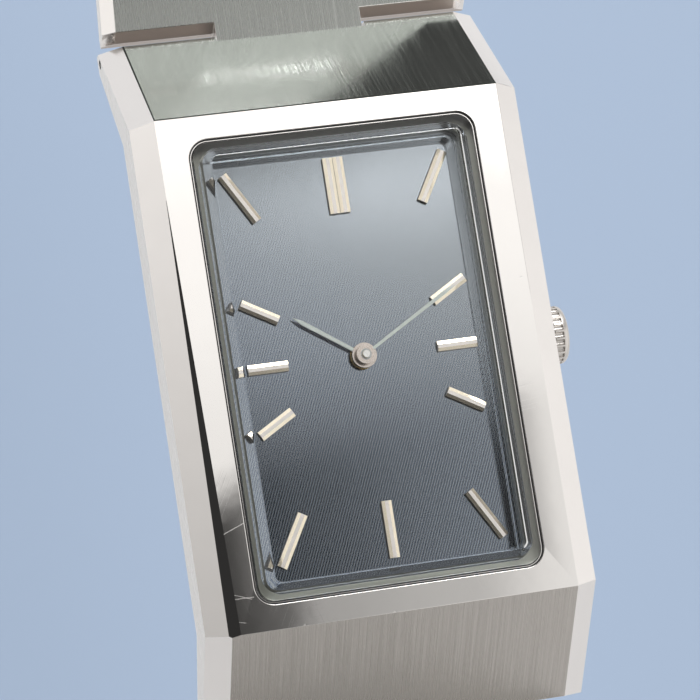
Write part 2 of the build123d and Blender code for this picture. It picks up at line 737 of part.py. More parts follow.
def hour_hand():
    """Hour hand on its wide lower boss."""
    with BuildPart() as hand:
        points = hand_points(HOUR_HAND_LENGTH, HOUR_HAND_WIDTH, HOUR_DEG)
        plate(points, HOUR_HAND_Z, HOUR_HAND_Z + HAND_THICKNESS)
        disc(HOUR_BOSS_RADIUS, HOUR_HAND_Z, HOUR_BOSS_TOP)
        disc(HOUR_PIPE_RADIUS, HOUR_HAND_Z, HOUR_BOSS_TOP, mode=Mode.SUBTRACT)
    return hand


def minute_hand():
    """Minute hand on its upper boss."""
    with BuildPart() as hand:
        points = hand_points(MINUTE_HAND_LENGTH, MINUTE_HAND_WIDTH, MINUTE_DEG)
        plate(points, MINUTE_HAND_Z, MINUTE_HAND_Z + HAND_THICKNESS)
        disc(MINUTE_BOSS_RADIUS, MINUTE_BOSS_BOTTOM, MINUTE_BOSS_TOP)
        disc(CANNON_PIPE_RADIUS, MINUTE_BOSS_BOTTOM, MINUTE_BOSS_TOP, mode=Mode.SUBTRACT)
    return hand


def hour_wheel():
    """Hour wheel and the pipe that carries the hour hand."""
    with BuildPart() as wheel:
        facing = HALF_TURN_DEG + HALF_TURN_DEG / HOUR_WHEEL_TEETH + HALF_TURN_DEG
        gear(HOUR_WHEEL_TEETH, HOUR_MODULE, HOUR_WHEEL_LOW, HOUR_WHEEL_HIGH, tooth_at_deg=facing)
        disc(HOUR_PIPE_RADIUS, HOUR_WHEEL_LOW, HOUR_BOSS_TOP)
        disc(HOUR_PIPE_BORE, HOUR_WHEEL_LOW, HOUR_BOSS_TOP, mode=Mode.SUBTRACT)
    return wheel


def cannon_pinion():
    """Cannon pinion, pressed on the centre arbor, that carries the minute hand."""
    with BuildPart() as pinion:
        gear(CANNON_TEETH, CANNON_MODULE, CANNON_LEAVES_LOW, CANNON_LEAVES_HIGH)
        disc(CANNON_PIPE_RADIUS, CANNON_LEAVES_LOW, MINUTE_BOSS_TOP)
        disc(CENTRE_ARBOR_RADIUS, CANNON_LEAVES_LOW, MINUTE_BOSS_TOP, mode=Mode.SUBTRACT)
    return pinion


def minute_wheel():
    """Reduction wheel of the motion work on the plate's stud."""
    with BuildPart() as wheel:
        facing = HALF_TURN_DEG + HALF_TURN_DEG / MINUTE_WHEEL_TEETH
        gear(
            MINUTE_WHEEL_TEETH,
            CANNON_MODULE,
            MINUTE_WHEEL_LOW,
            MINUTE_WHEEL_HIGH,
            MINUTE_WHEEL_AT,
            facing,
        )
        gear(
            MINUTE_PINION_TEETH,
            HOUR_MODULE,
            MINUTE_WHEEL_HIGH,
            MINUTE_PINION_HIGH,
            MINUTE_WHEEL_AT,
            HALF_TURN_DEG,
        )
        bore = MINUTE_STUD_RADIUS + RUNNING_GAP
        disc(bore, MINUTE_WHEEL_LOW, MINUTE_PINION_HIGH, MINUTE_WHEEL_AT, Mode.SUBTRACT)
    return wheel


def centre_wheel():
    """Centre arbor with its pinion and wheel."""
    with BuildPart() as wheel:
        disc(CENTRE_ARBOR_RADIUS, BRIDGE_BOTTOM, CENTRE_ARBOR_TOP)
        gear(
            CENTRE_PINION_TEETH,
            BARREL_MODULE,
            CENTRE_PINION_LOW,
            CENTRE_WHEEL_LOW,
            tooth_at_deg=BARREL_DIRECTION,
        )
        gear(
            CENTRE_WHEEL_TEETH,
            CENTRE_MODULE,
            CENTRE_WHEEL_LOW,
            CENTRE_WHEEL_HIGH,
            tooth_at_deg=THIRD_DIRECTION,
        )
    return wheel


def train_wheel(at, pinion, wheel):
    """An arbor with a pinion driven from before and a wheel that drives the next pinion."""
    with BuildPart() as part:
        disc(ARBOR_RADIUS, BRIDGE_BOTTOM, PIVOT_TOP, at)
        gear(pinion[0], pinion[1], pinion[2], pinion[3], at, pinion[4])
        gear(wheel[0], wheel[1], wheel[2], wheel[3], at, wheel[4])
    return part


def third_wheel():
    """Third wheel."""
    facing = THIRD_DIRECTION + HALF_TURN_DEG + HALF_TURN_DEG / THIRD_PINION_TEETH
    pinion = (THIRD_PINION_TEETH, CENTRE_MODULE, THIRD_PINION_LOW, THIRD_PINION_HIGH, facing)
    wheel = (THIRD_WHEEL_TEETH, THIRD_MODULE, THIRD_WHEEL_LOW, THIRD_WHEEL_HIGH, FOURTH_DIRECTION)
    return train_wheel(THIRD_AT, pinion, wheel)


def fourth_wheel():
    """Fourth wheel."""
    facing = FOURTH_DIRECTION + HALF_TURN_DEG + HALF_TURN_DEG / FOURTH_PINION_TEETH
    pinion = (FOURTH_PINION_TEETH, THIRD_MODULE, FOURTH_PINION_LOW, FOURTH_PINION_HIGH, facing)
    wheel = (FOURTH_WHEEL_TEETH, FOURTH_MODULE, FOURTH_WHEEL_LOW, FOURTH_WHEEL_HIGH, ESCAPE_DIRECTION)
    return train_wheel(FOURTH_AT, pinion, wheel)


def escape_wheel():
    """Escape wheel with hooked teeth, and its pinion."""
    with BuildPart() as wheel:
        facing = ESCAPE_DIRECTION + HALF_TURN_DEG + HALF_TURN_DEG / ESCAPE_PINION_TEETH
        disc(ARBOR_RADIUS, BRIDGE_BOTTOM, PIVOT_TOP, ESCAPE_AT)
        gear(
            ESCAPE_PINION_TEETH,
            FOURTH_MODULE,
            ESCAPE_PINION_LOW,
            ESCAPE_PINION_HIGH,
            ESCAPE_AT,
            facing,
        )
        pitch = 360 / ESCAPE_TEETH
        points = []
        for i in range(ESCAPE_TEETH):
            lead = FORK_DIRECTION + (i + 0.5) * pitch
            points.append(polar(ESCAPE_RIM_RADIUS, lead - pitch / 2, ESCAPE_AT))
            points.append(polar(ESCAPE_RADIUS, lead, ESCAPE_AT))
            points.append(polar(ESCAPE_RIM_RADIUS, lead + pitch * ESCAPE_HOOK_SHARE, ESCAPE_AT))
        plate(points, ESCAPE_WHEEL_LOW, ESCAPE_WHEEL_HIGH)
    return wheel


def pallet_fork():
    """Pallet fork: two arms with stones towards the escape wheel, a slotted end at the balance."""
    with BuildPart() as fork:
        disc(FORK_HUB_RADIUS, FORK_LOW, FORK_HIGH, FORK_AT)
        back = FORK_DIRECTION + HALF_TURN_DEG
        for spread in (-FORK_ARM_SPREAD_DEG, FORK_ARM_SPREAD_DEG):
            end = polar(FORK_ARM_LENGTH, back + spread, FORK_AT)
            bar_between(FORK_AT, end, FORK_ARM_WIDTH, FORK_LOW, FORK_HIGH)
            tip = polar(FORK_STONE_LENGTH, back + spread * FORK_STONE_TURN_SHARE, end)
            bar_between(end, tip, FORK_ARM_WIDTH / 2, FORK_LOW, FORK_HIGH)
        horn = polar(BALANCE_DISTANCE * FORK_HORN_SHARE, BALANCE_DIRECTION, FORK_AT)
        bar_between(FORK_AT, horn, FORK_ARM_WIDTH, FORK_LOW, FORK_HIGH)
        reach = BALANCE_DISTANCE * (1 - FORK_HORN_SHARE) - IMPULSE_PIN_PLACE + IMPULSE_PIN_RADIUS
        shift = (FORK_SLOT_WIDTH + FORK_ARM_WIDTH / 2) / 2
        roots = [polar(s * shift, BALANCE_DIRECTION + 90, horn) for s in (-1, 1)]
        bar_between(roots[0], roots[1], FORK_ARM_WIDTH / 2, FORK_LOW, FORK_HIGH)
        for root in roots:
            far = polar(reach, BALANCE_DIRECTION, root)
            bar_between(root, far, FORK_ARM_WIDTH / 2, FORK_LOW, FORK_HIGH)
        disc(ARBOR_RADIUS, FORK_BOTTOM, FORK_TOP, FORK_AT)
    return fork


def balance_wheel():
    """Balance rim, arms, staff, roller and impulse pin."""
    with BuildPart() as balance:
        disc(BALANCE_RADIUS, BALANCE_LOW, BALANCE_HIGH, BALANCE_AT)
        inner = BALANCE_RADIUS - BALANCE_RIM_WIDTH
        disc(inner, BALANCE_LOW, BALANCE_HIGH, BALANCE_AT, Mode.SUBTRACT)
        for angle in (0, 120, 240):
            end = polar(inner + BALANCE_RIM_WIDTH / 2, angle, BALANCE_AT)
            bar_between(BALANCE_AT, end, BALANCE_ARM_WIDTH, BALANCE_LOW, BALANCE_HIGH)
        disc(BALANCE_HUB_RADIUS, BALANCE_LOW, BALANCE_HIGH, BALANCE_AT)
        disc(HAIRSPRING_INNER, HAIRSPRING_LOW, BALANCE_LOW, BALANCE_AT)
        disc(STAFF_RADIUS, STAFF_BOTTOM, STAFF_TOP, BALANCE_AT)
        disc(ROLLER_RADIUS, ROLLER_LOW, ROLLER_HIGH, BALANCE_AT)
        pin = polar(IMPULSE_PIN_PLACE, BALANCE_DIRECTION + HALF_TURN_DEG, BALANCE_AT)
        disc(IMPULSE_PIN_RADIUS, ROLLER_HIGH, IMPULSE_PIN_TOP, pin)
    return balance


def hairspring():
    """Flat wound spring of the balance."""
    with BuildPart() as spring:
        spiral_band(
            HAIRSPRING_INNER,
            HAIRSPRING_OUTER,
            HAIRSPRING_TURNS,
            HAIRSPRING_THICKNESS,
            HAIRSPRING_LOW,
            HAIRSPRING_HIGH,
            BALANCE_AT,
            STUD_DIRECTION,
        )
    return spring


def barrel():
    """Toothed drum for the mainspring, open towards its cover."""
    with BuildPart() as drum:
        facing = BARREL_DIRECTION + HALF_TURN_DEG + HALF_TURN_DEG / BARREL_TEETH
        gear(BARREL_TEETH, BARREL_MODULE, BARREL_TEETH_LOW, BARREL_TEETH_HIGH, BARREL_AT, facing)
        disc(BARREL_DRUM_RADIUS, BARREL_COVER_HIGH, BARREL_TEETH_LOW, BARREL_AT)
        inner = BARREL_DRUM_RADIUS - BARREL_WALL
        disc(inner, BARREL_COVER_HIGH, BARREL_TEETH_LOW, BARREL_AT, Mode.SUBTRACT)
        bore = BARREL_ARBOR_RADIUS + RUNNING_GAP
        disc(bore, BARREL_TEETH_LOW, BARREL_TEETH_HIGH, BARREL_AT, Mode.SUBTRACT)
    return drum


def barrel_cover():
    """Cover that closes the barrel."""
    with BuildPart() as cover:
        disc(BARREL_DRUM_RADIUS, BARREL_BOTTOM, BARREL_COVER_HIGH, BARREL_AT)
        bore = BARREL_ARBOR_RADIUS + RUNNING_GAP
        disc(bore, BARREL_BOTTOM, BARREL_COVER_HIGH, BARREL_AT, Mode.SUBTRACT)
    return cover


def mainspring():
    """Wound spring inside the barrel, from the wall in to the arbor."""
    with BuildPart() as spring:
        outer = BARREL_DRUM_RADIUS - BARREL_WALL - MAINSPRING_THICKNESS
        spiral_band(
            BARREL_HUB_RADIUS + MAINSPRING_PLAY,
            outer,
            MAINSPRING_TURNS,
            MAINSPRING_THICKNESS,
            BARREL_COVER_HIGH + MAINSPRING_PLAY,
            BARREL_TEETH_LOW - MAINSPRING_PLAY,
            BARREL_AT,
        )
    return spring


def barrel_arbor():
    """Barrel arbor with its hub and the ratchet wheel on the winding side."""
    with BuildPart() as arbor:
        disc(BARREL_ARBOR_RADIUS, RATCHET_LOW, BARREL_ARBOR_TOP, BARREL_AT)
        disc(
            BARREL_HUB_RADIUS,
            BARREL_COVER_HIGH + MAINSPRING_PLAY,
            BARREL_TEETH_LOW - MAINSPRING_PLAY,
            BARREL_AT,
        )
        gear(RATCHET_TEETH, RATCHET_MODULE, RATCHET_LOW, RATCHET_HIGH, BARREL_AT)
    return arbor


def main_plate():
    """Main plate with the motion-work recess, stem hole, lever pocket and pivot holes."""
    with BuildPart() as base:
        disc(MOVEMENT_RADIUS, PLATE_BOTTOM, PLATE_TOP)
        disc(RECESS_CENTRE_RADIUS, MOTION_FLOOR, PLATE_TOP, mode=Mode.SUBTRACT)
        disc(RECESS_SIDE_RADIUS, MOTION_FLOOR, PLATE_TOP, MINUTE_WHEEL_AT, Mode.SUBTRACT)
        disc(MINUTE_STUD_RADIUS, MOTION_FLOOR, MINUTE_STUD_TOP, MINUTE_WHEEL_AT)
        disc(CENTRE_BORE, PLATE_BOTTOM, PLATE_TOP, mode=Mode.SUBTRACT)
        bore = BARREL_ARBOR_RADIUS + RUNNING_GAP
        disc(bore, PLATE_BOTTOM, BARREL_ARBOR_TOP + RUNNING_GAP, BARREL_AT, Mode.SUBTRACT)
        for place in (THIRD_AT, FOURTH_AT, ESCAPE_AT, FORK_AT, BALANCE_AT):
            disc(ARBOR_BORE, PLATE_BOTTOM, PIVOT_TOP + RUNNING_GAP, place, Mode.SUBTRACT)
        for place in dial_feet_places():
            low = PLATE_TOP - DIAL_FOOT_LENGTH - RUNNING_GAP
            disc(DIAL_FOOT_RADIUS + RUNNING_GAP, low, PLATE_TOP, place, Mode.SUBTRACT)
        for place in bridge_screw_places():
            disc(SCREW_RADIUS, PLATE_BOTTOM, BRIDGE_SCREW_TOP, place, Mode.SUBTRACT)
        stem_hole = STEM_RADIUS + CENTRE_RUNNING_GAP
        rod_x(stem_hole, STEM_HOLE_END_X, MOVEMENT_RADIUS, 0, STEM_Z, Mode.SUBTRACT)
        play = LEVER_POCKET_PLAY
        block(
            (
                STEM_GROOVE_X - LEVER_THICKNESS / 2 - play,
                STEM_GROOVE_X + LEVER_THICKNESS / 2 + CROWN_PULL + play,
            ),
            (-LEVER_HALF_WIDTH - play, LEVER_HALF_WIDTH + play),
            (PLATE_BOTTOM, LEVER_TOP + play),
            Mode.SUBTRACT,
        )
    return base


def bridge_screw_places():
    """Pillars of the train bridge that take a screw."""
    return PILLAR_PLACES[:3]


def train_bridge():
    """Bridge over the barrel and the train, on four pillars."""
    with BuildPart() as bridge:
        disc(BRIDGE_RADIUS, BRIDGE_BOTTOM, BRIDGE_TOP)
        disc(BRIDGE_BALANCE_RELIEF, BRIDGE_BOTTOM, BRIDGE_TOP, BALANCE_AT, Mode.SUBTRACT)
        block(
            (BALANCE_AT[0] - BRIDGE_BALANCE_RELIEF, BALANCE_AT[0] + BRIDGE_BALANCE_RELIEF),
            (-BRIDGE_RADIUS - CUT_PAST, BALANCE_AT[1]),
            (BRIDGE_BOTTOM, BRIDGE_TOP),
            Mode.SUBTRACT,
        )
        for place in PILLAR_PLACES:
            disc(PILLAR_RADIUS, BRIDGE_TOP, PLATE_BOTTOM, place)
        for place in bridge_screw_places():
            disc(SCREW_RADIUS, BRIDGE_BOTTOM, PLATE_BOTTOM, place, Mode.SUBTRACT)
            head_top = BRIDGE_BOTTOM + SCREW_HEAD_HEIGHT
            disc(SCREW_HEAD_RADIUS, BRIDGE_BOTTOM, head_top, place, Mode.SUBTRACT)
        for place in AUTO_POST_PLACES:
            disc(SCREW_RADIUS, BRIDGE_BOTTOM, AUTO_SCREW_TOP, place, Mode.SUBTRACT)
        disc(CENTRE_BORE, BRIDGE_BOTTOM, BRIDGE_TOP, mode=Mode.SUBTRACT)
        bore = BARREL_ARBOR_RADIUS + RUNNING_GAP
        disc(bore, BRIDGE_BOTTOM, BRIDGE_TOP, BARREL_AT, Mode.SUBTRACT)
        for place in (THIRD_AT, FOURTH_AT, ESCAPE_AT):
            disc(ARBOR_BORE, BRIDGE_BOTTOM, BRIDGE_TOP, place, Mode.SUBTRACT)
    return bridge


def pallet_bridge():
    """Small bridge that holds the free end of the pallet fork's arbor."""
    with BuildPart() as bridge:
        bar_between(
            PALLET_FOOT_PLACE,
            FORK_AT,
            2 * PALLET_FOOT_RADIUS,
            PALLET_BRIDGE_LOW,
            PALLET_BRIDGE_HIGH,
        )
        disc(PALLET_FOOT_RADIUS, PALLET_BRIDGE_HIGH, PLATE_BOTTOM, PALLET_FOOT_PLACE)
        disc(ARBOR_BORE, PALLET_BRIDGE_LOW, PALLET_BRIDGE_HIGH, FORK_AT, Mode.SUBTRACT)
    return bridge


def cock_screw_place():
    """The balance cock's screw, in the middle of its foot."""
    return (BALANCE_AT[0], (COCK_FOOT_OUTER_Y + COCK_FOOT_INNER_Y) / 2)


def balance_cock():
    """Cock that holds the balance staff, on one foot."""
    with BuildPart() as cock:
        block(
            (BALANCE_AT[0] - COCK_HALF_WIDTH, BALANCE_AT[0] + COCK_HALF_WIDTH),
            (COCK_FOOT_OUTER_Y, BALANCE_AT[1] + COCK_END_PAST_STAFF),
            (COCK_BOTTOM, COCK_TOP),
        )
        block(
            (BALANCE_AT[0] - COCK_FOOT_HALF_WIDTH, BALANCE_AT[0] + COCK_FOOT_HALF_WIDTH),
            (COCK_FOOT_OUTER_Y, COCK_FOOT_INNER_Y),
            (COCK_BOTTOM, PLATE_BOTTOM),
        )
        disc(
            STAFF_RADIUS + RUNNING_GAP,
            COCK_BOTTOM,
            COCK_TOP,
            BALANCE_AT,
            Mode.SUBTRACT,
        )
        stud_reach = HAIRSPRING_OUTER + HAIRSPRING_THICKNESS + STUD_RADIUS
        stud = polar(stud_reach, STUD_DIRECTION, BALANCE_AT)
        disc(STUD_RADIUS, COCK_TOP, HAIRSPRING_HIGH, stud)
        disc(SCREW_RADIUS, COCK_BOTTOM, COCK_SCREW_TOP, cock_screw_place(), Mode.SUBTRACT)
        head_top = COCK_BOTTOM + SCREW_HEAD_HEIGHT
        disc(SCREW_HEAD_RADIUS, COCK_BOTTOM, head_top, cock_screw_place(), Mode.SUBTRACT)
    return cock


def automatic_bridge():
    """Bridge that carries the rotor over the ratchet wheel."""
    with BuildPart() as bridge:
        bar_between(AUTO_POST_PLACES[0], AUTO_POST_PLACES[1], AUTO_BAR_WIDTH, AUTO_BOTTOM, AUTO_TOP)
        for place in AUTO_POST_PLACES:
            disc(AUTO_POST_RADIUS, AUTO_TOP, BRIDGE_BOTTOM, place)
        for place in AUTO_POST_PLACES:
            disc(SCREW_RADIUS, AUTO_BOTTOM, BRIDGE_BOTTOM, place, Mode.SUBTRACT)
            head_top = AUTO_BOTTOM + SCREW_HEAD_HEIGHT
            disc(SCREW_HEAD_RADIUS, AUTO_BOTTOM, head_top, place, Mode.SUBTRACT)
        disc(AXLE_RADIUS, AUTO_BOTTOM, AUTO_TOP, mode=Mode.SUBTRACT)
    return bridge


def bridge_screws():
    """Screws of the train bridge, the cock and the automatic bridge."""
    with BuildPart() as screws:
        sets = [(place, BRIDGE_BOTTOM, BRIDGE_SCREW_TOP) for place in bridge_screw_places()]
        sets += [(place, AUTO_BOTTOM, AUTO_SCREW_TOP) for place in AUTO_POST_PLACES]
        sets += [(cock_screw_place(), COCK_BOTTOM, COCK_SCREW_TOP)]
        for place, low, top in sets:
            head_top = low + SCREW_HEAD_HEIGHT
            screw_down(place, SCREW_RADIUS, SCREW_HEAD_RADIUS, low, head_top, top)
    return screws


def rotor():
    """Half-round winding weight with a heavy rim and two windows."""
    with BuildPart() as weight:
        disc(ROTOR_RADIUS, ROTOR_BOTTOM, ROTOR_RIM_TOP)
        disc(ROTOR_RIM_INNER, ROTOR_WEB_TOP, ROTOR_RIM_TOP, mode=Mode.SUBTRACT)
        block(
            (-ROTOR_RADIUS - CUT_PAST, ROTOR_RADIUS + CUT_PAST),
            (0, ROTOR_RADIUS + CUT_PAST),
            (ROTOR_BOTTOM, ROTOR_RIM_TOP),
            Mode.SUBTRACT,
        )
        for side in (-1, 1):
            centre = -90 + side * ROTOR_SLOT_CENTRE_DEG
            outline = []
            for share in (-1, -0.5, 0, 0.5, 1):
                outline.append(polar(ROTOR_SLOT_OUTER, centre + share * ROTOR_SLOT_HALF_DEG))
            for share in (1, 0.5, 0, -0.5, -1):
                outline.append(polar(ROTOR_SLOT_INNER, centre + share * ROTOR_SLOT_HALF_DEG))
            plate(outline, ROTOR_BOTTOM, ROTOR_WEB_TOP, Mode.SUBTRACT)
        disc(ROTOR_HUB_RADIUS, ROTOR_BOTTOM, ROTOR_WEB_TOP)
        disc(AXLE_RADIUS + CENTRE_RUNNING_GAP, ROTOR_BOTTOM, ROTOR_WEB_TOP, mode=Mode.SUBTRACT)
    return weight


def rotor_axle():
    """Flanged axle that keeps the rotor on the automatic bridge."""
    with BuildPart() as axle:
        disc(AXLE_RADIUS, AXLE_FLANGE_BOTTOM, AUTO_TOP)
        disc(AXLE_FLANGE_RADIUS, AXLE_FLANGE_BOTTOM, AXLE_FLANGE_TOP)
    return axle


def clamp_pocket(side, play):
    """The X and Y ranges of a casing clamp on the 12 or 6 o'clock side."""
    ends = sorted((side * (CLAMP_INNER_Y - play), side * (CLAMP_OUTER_Y + play)))
    return (-CLAMP_HALF_WIDTH - play, CLAMP_HALF_WIDTH + play), ends


def movement_ring():
    """Ring that fills the case round the movement."""
    with BuildPart() as ring:
        slab(
            CAVITY_HALF_X - RING_PLAY,
            CAVITY_HALF_Y - RING_PLAY,
            CAVITY_CORNER - RING_PLAY,
            RING_BOTTOM,
            PLATE_TOP,
        )
        disc(RING_BORE, RING_BOTTOM, PLATE_TOP, mode=Mode.SUBTRACT)
        rod_x(RING_STEM_RADIUS, 0, CAVITY_HALF_X, 0, STEM_Z, Mode.SUBTRACT)
        for side in (-1, 1):
            across, along = clamp_pocket(side, CLAMP_PLAY)
            block(across, along, (RING_BOTTOM, PLATE_BOTTOM), Mode.SUBTRACT)
            disc(
                CLAMP_SCREW_RADIUS,
                PLATE_BOTTOM,
                CLAMP_SCREW_TOP,
                (0, side * CLAMP_SCREW_Y),
                Mode.SUBTRACT,
            )
    return ring


def casing_clamps():
    """Two clamps that hold the movement in the ring."""
    with BuildPart() as clamps:
        for side in (-1, 1):
            across, along = clamp_pocket(side, 0)
            low = PLATE_BOTTOM - CLAMP_THICKNESS
            block(across, along, (low, PLATE_BOTTOM))
            disc(CLAMP_SCREW_RADIUS, low, PLATE_BOTTOM, (0, side * CLAMP_SCREW_Y), Mode.SUBTRACT)
    return clamps


def casing_screws():
    """Screws of the casing clamps."""
    with BuildPart() as screws:
        head_top = PLATE_BOTTOM - CLAMP_THICKNESS
        for side in (-1, 1):
            screw_down(
                (0, side * CLAMP_SCREW_Y),
                CLAMP_SCREW_RADIUS,
                CLAMP_SCREW_HEAD_RADIUS,
                head_top - CLAMP_SCREW_HEAD_HEIGHT,
                head_top,
                CLAMP_SCREW_TOP,
            )
    return screws


def case_back():
    """Case back: outer plate with a raised pad, and a lip that enters the case."""
    with BuildPart() as back:
        slab(TUB_HALF_X, TUB_HALF_Y, TUB_CORNER, BACK_STEP, BACK_SEAT)
        rim = back.edges().filter_by_position(Axis.Z, BACK_STEP, BACK_STEP)
        chamfer(rim, BACK_FILLET)
        slab(BACK_PAD_HALF_X, BACK_PAD_HALF_Y, BACK_PAD_CORNER, 0, BACK_STEP)
        slab(LIP_HALF_X, LIP_HALF_Y, LIP_CORNER, BACK_SEAT, LIP_TOP)
        disc(RING_BORE, BACK_SEAT, LIP_TOP, mode=Mode.SUBTRACT)
        for x in (-BACK_SCREW_X, BACK_SCREW_X):
            for y in (-BACK_SCREW_Y, BACK_SCREW_Y):
                disc(BACK_SCREW_RADIUS, 0, BACK_SEAT, (x, y), Mode.SUBTRACT)
                disc(BACK_SCREW_HEAD_RADIUS, 0, BACK_SCREW_HEAD_HIGH, (x, y), Mode.SUBTRACT)
    return back


def back_gasket():
    """Seal round the lip of the case back."""
    with BuildPart() as seal:
        play = GASKET_PLAY
        slab(
            CAVITY_HALF_X - play,
            CAVITY_HALF_Y - play,
            CAVITY_CORNER - play,
            BACK_SEAT,
            BACK_GASKET_TOP,
        )
        slab(
            LIP_HALF_X + play,
            LIP_HALF_Y + play,
            LIP_CORNER + play,
            BACK_SEAT,
            BACK_GASKET_TOP,
            Mode.SUBTRACT,
        )
    return seal


def back_screws():
    """Four screws of the case back."""
    with BuildPart() as screws:
        for x in (-BACK_SCREW_X, BACK_SCREW_X):
            for y in (-BACK_SCREW_Y, BACK_SCREW_Y):
                screw_down(
                    (x, y),
                    BACK_SCREW_RADIUS,
                    BACK_SCREW_HEAD_RADIUS,
                    BACK_SCREW_HEAD_LOW,
                    BACK_SCREW_HEAD_HIGH,
                    BACK_SCREW_TOP,
                )
    return screws


def crown_tube():
    """Tube pressed into the case wall, the stem runs in it."""
    with BuildPart() as tube:
        rod_x(TUBE_RADIUS, TUBE_INNER_X, TUBE_OUTER_X, 0, STEM_Z)
        rod_x(TUBE_BORE, TUBE_INNER_X, TUBE_OUTER_X, 0, STEM_Z, Mode.SUBTRACT)
    return tube


def crown():
    """Fluted crown with a hollow for the tube."""
    with BuildPart() as knob:
        rod_x(CROWN_RADIUS, CROWN_INNER_X, CROWN_OUTER_X, 0, STEM_Z)
        rim = knob.faces().sort_by(Axis.X)[-1].edges()
        fillet(rim, CROWN_EDGE_FILLET)
        for i in range(CROWN_FLUTES):
            y, z = polar(CROWN_RADIUS, (i + 0.5) * 360 / CROWN_FLUTES, (0, STEM_Z))
            rod_x(CROWN_FLUTE_RADIUS, CROWN_INNER_X, CROWN_FLUTE_END_X, y, z, Mode.SUBTRACT)
        rod_x(CROWN_BORE, CROWN_INNER_X, CROWN_BORE_END_X, 0, STEM_Z, Mode.SUBTRACT)
    return knob


def winding_stem():
    """Stem from the crown into the movement, with the lever's groove."""
    with BuildPart() as stem:
        rod_x(STEM_RADIUS, STEM_INNER_X, CROWN_BORE_END_X, 0, STEM_Z)
        half = LEVER_THICKNESS / 2 + LEVER_PLAY
        rod_x(STEM_RADIUS, STEM_GROOVE_X - half, STEM_GROOVE_X + half, 0, STEM_Z, Mode.SUBTRACT)
        rod_x(STEM_GROOVE_RADIUS, STEM_GROOVE_X - half, STEM_GROOVE_X + half, 0, STEM_Z)
    return stem


def setting_lever():
    """Forked lever end that sits in the stem's groove and slides with it."""
    with BuildPart() as lever:
        x_range = (STEM_GROOVE_X - LEVER_THICKNESS / 2, STEM_GROOVE_X + LEVER_THICKNESS / 2)
        block(x_range, (-LEVER_HALF_WIDTH, LEVER_HALF_WIDTH), (LEVER_BOTTOM, LEVER_TOP))
        slot = STEM_GROOVE_RADIUS + CENTRE_RUNNING_GAP
        rod_x(slot, x_range[0], x_range[1], 0, STEM_Z, Mode.SUBTRACT)
        block(x_range, (-slot, slot), (STEM_Z, LEVER_TOP), Mode.SUBTRACT)
    return lever


def link_width(index):
    """Bracelet width at the start of a link, counted from the case."""
    return LINK_FIRST_WIDTH - index * LINK_NARROWING


def pin_y(index):
    """Distance of a pin axis from the dial's centre, counted from the lug pin."""
    return LUG_PIN_Y + index * LINK_PITCH


def pin_half_length(index):
    """Half the length of the pin between link index - 1 and link index."""
    return link_width(index) / 2 - LINK_BEVEL_WIDTH - PIN_END_INSET


def link(side, index):
    """One bracelet link: tongue and sloping heel towards the case, ears and notch away from it."""
    near = pin_y(index)
    far = pin_y(index + 1)
    start = near + PLATE_START
    end = far + EAR_LENGTH
    half_near = link_width(index) / 2
    half_far = link_width(index + 1) / 2
    sections = (
        (start - HEEL_LENGTH, half_near, LINK_PIN_Z),
        (start, half_near, LINK_THICKNESS),
        (end, half_far, LINK_THICKNESS),
    )
    with BuildPart() as piece:
        for y, half_width, top in sections:
            with BuildSketch(Plane.XZ.offset(-side * y)):
                inner = half_width - LINK_BEVEL_WIDTH
                face_polygon(
                    [
                        (-half_width, 0),
                        (half_width, 0),
                        (half_width, top - LINK_BEVEL_DROP),
                        (inner, top),
                        (-inner, top),
                        (-half_width, top - LINK_BEVEL_DROP),
                    ]
                )
        loft(ruled=True)
        rod_x(TONGUE_RADIUS, -TONGUE_HALF_WIDTH, TONGUE_HALF_WIDTH, side * near, LINK_PIN_Z)
        y_range = sorted((side * near, side * start))
        block((-TONGUE_HALF_WIDTH, TONGUE_HALF_WIDTH), y_range, (0, LINK_THICKNESS))
        half = TONGUE_HALF_WIDTH + TONGUE_SIDE_GAP
        notch = sorted((side * (far - TONGUE_RADIUS - TONGUE_END_GAP), side * (end + CUT_PAST)))
        block((-half, half), notch, (0, LINK_THICKNESS), Mode.SUBTRACT)
        rod_x(PIN_BORE, -TONGUE_HALF_WIDTH, TONGUE_HALF_WIDTH, side * near, LINK_PIN_Z, Mode.SUBTRACT)
        length = pin_half_length(index + 1)
        rod_x(PIN_RADIUS, -length, length, side * far, LINK_PIN_Z, Mode.SUBTRACT)
    return piece


def link_pin(side, index):
    """Pin held in the ears of a link."""
    with BuildPart() as pin:
        half = pin_half_length(index)
        rod_x(PIN_RADIUS, -half, half, side * pin_y(index), LINK_PIN_Z)
    return pin


def lug_pins():
    """The two pins that join the bracelet to the case."""
    with BuildPart() as pins:
        for side in (-1, 1):
            half = CASE_HALF_X - PIN_END_INSET
            rod_x(PIN_RADIUS, -half, half, side * LUG_PIN_Y, LINK_PIN_Z)
    return pins


def clasp_start():
    """Distance from the dial's centre at which the clasp's tray starts."""
    return pin_y(LINKS_PER_SIDE) + PLATE_START


def clasp_hinge_y():
    """Distance of the cover's hinge from the dial's centre."""
    return clasp_start() + CLASP_LENGTH - CLASP_HINGE_INSET


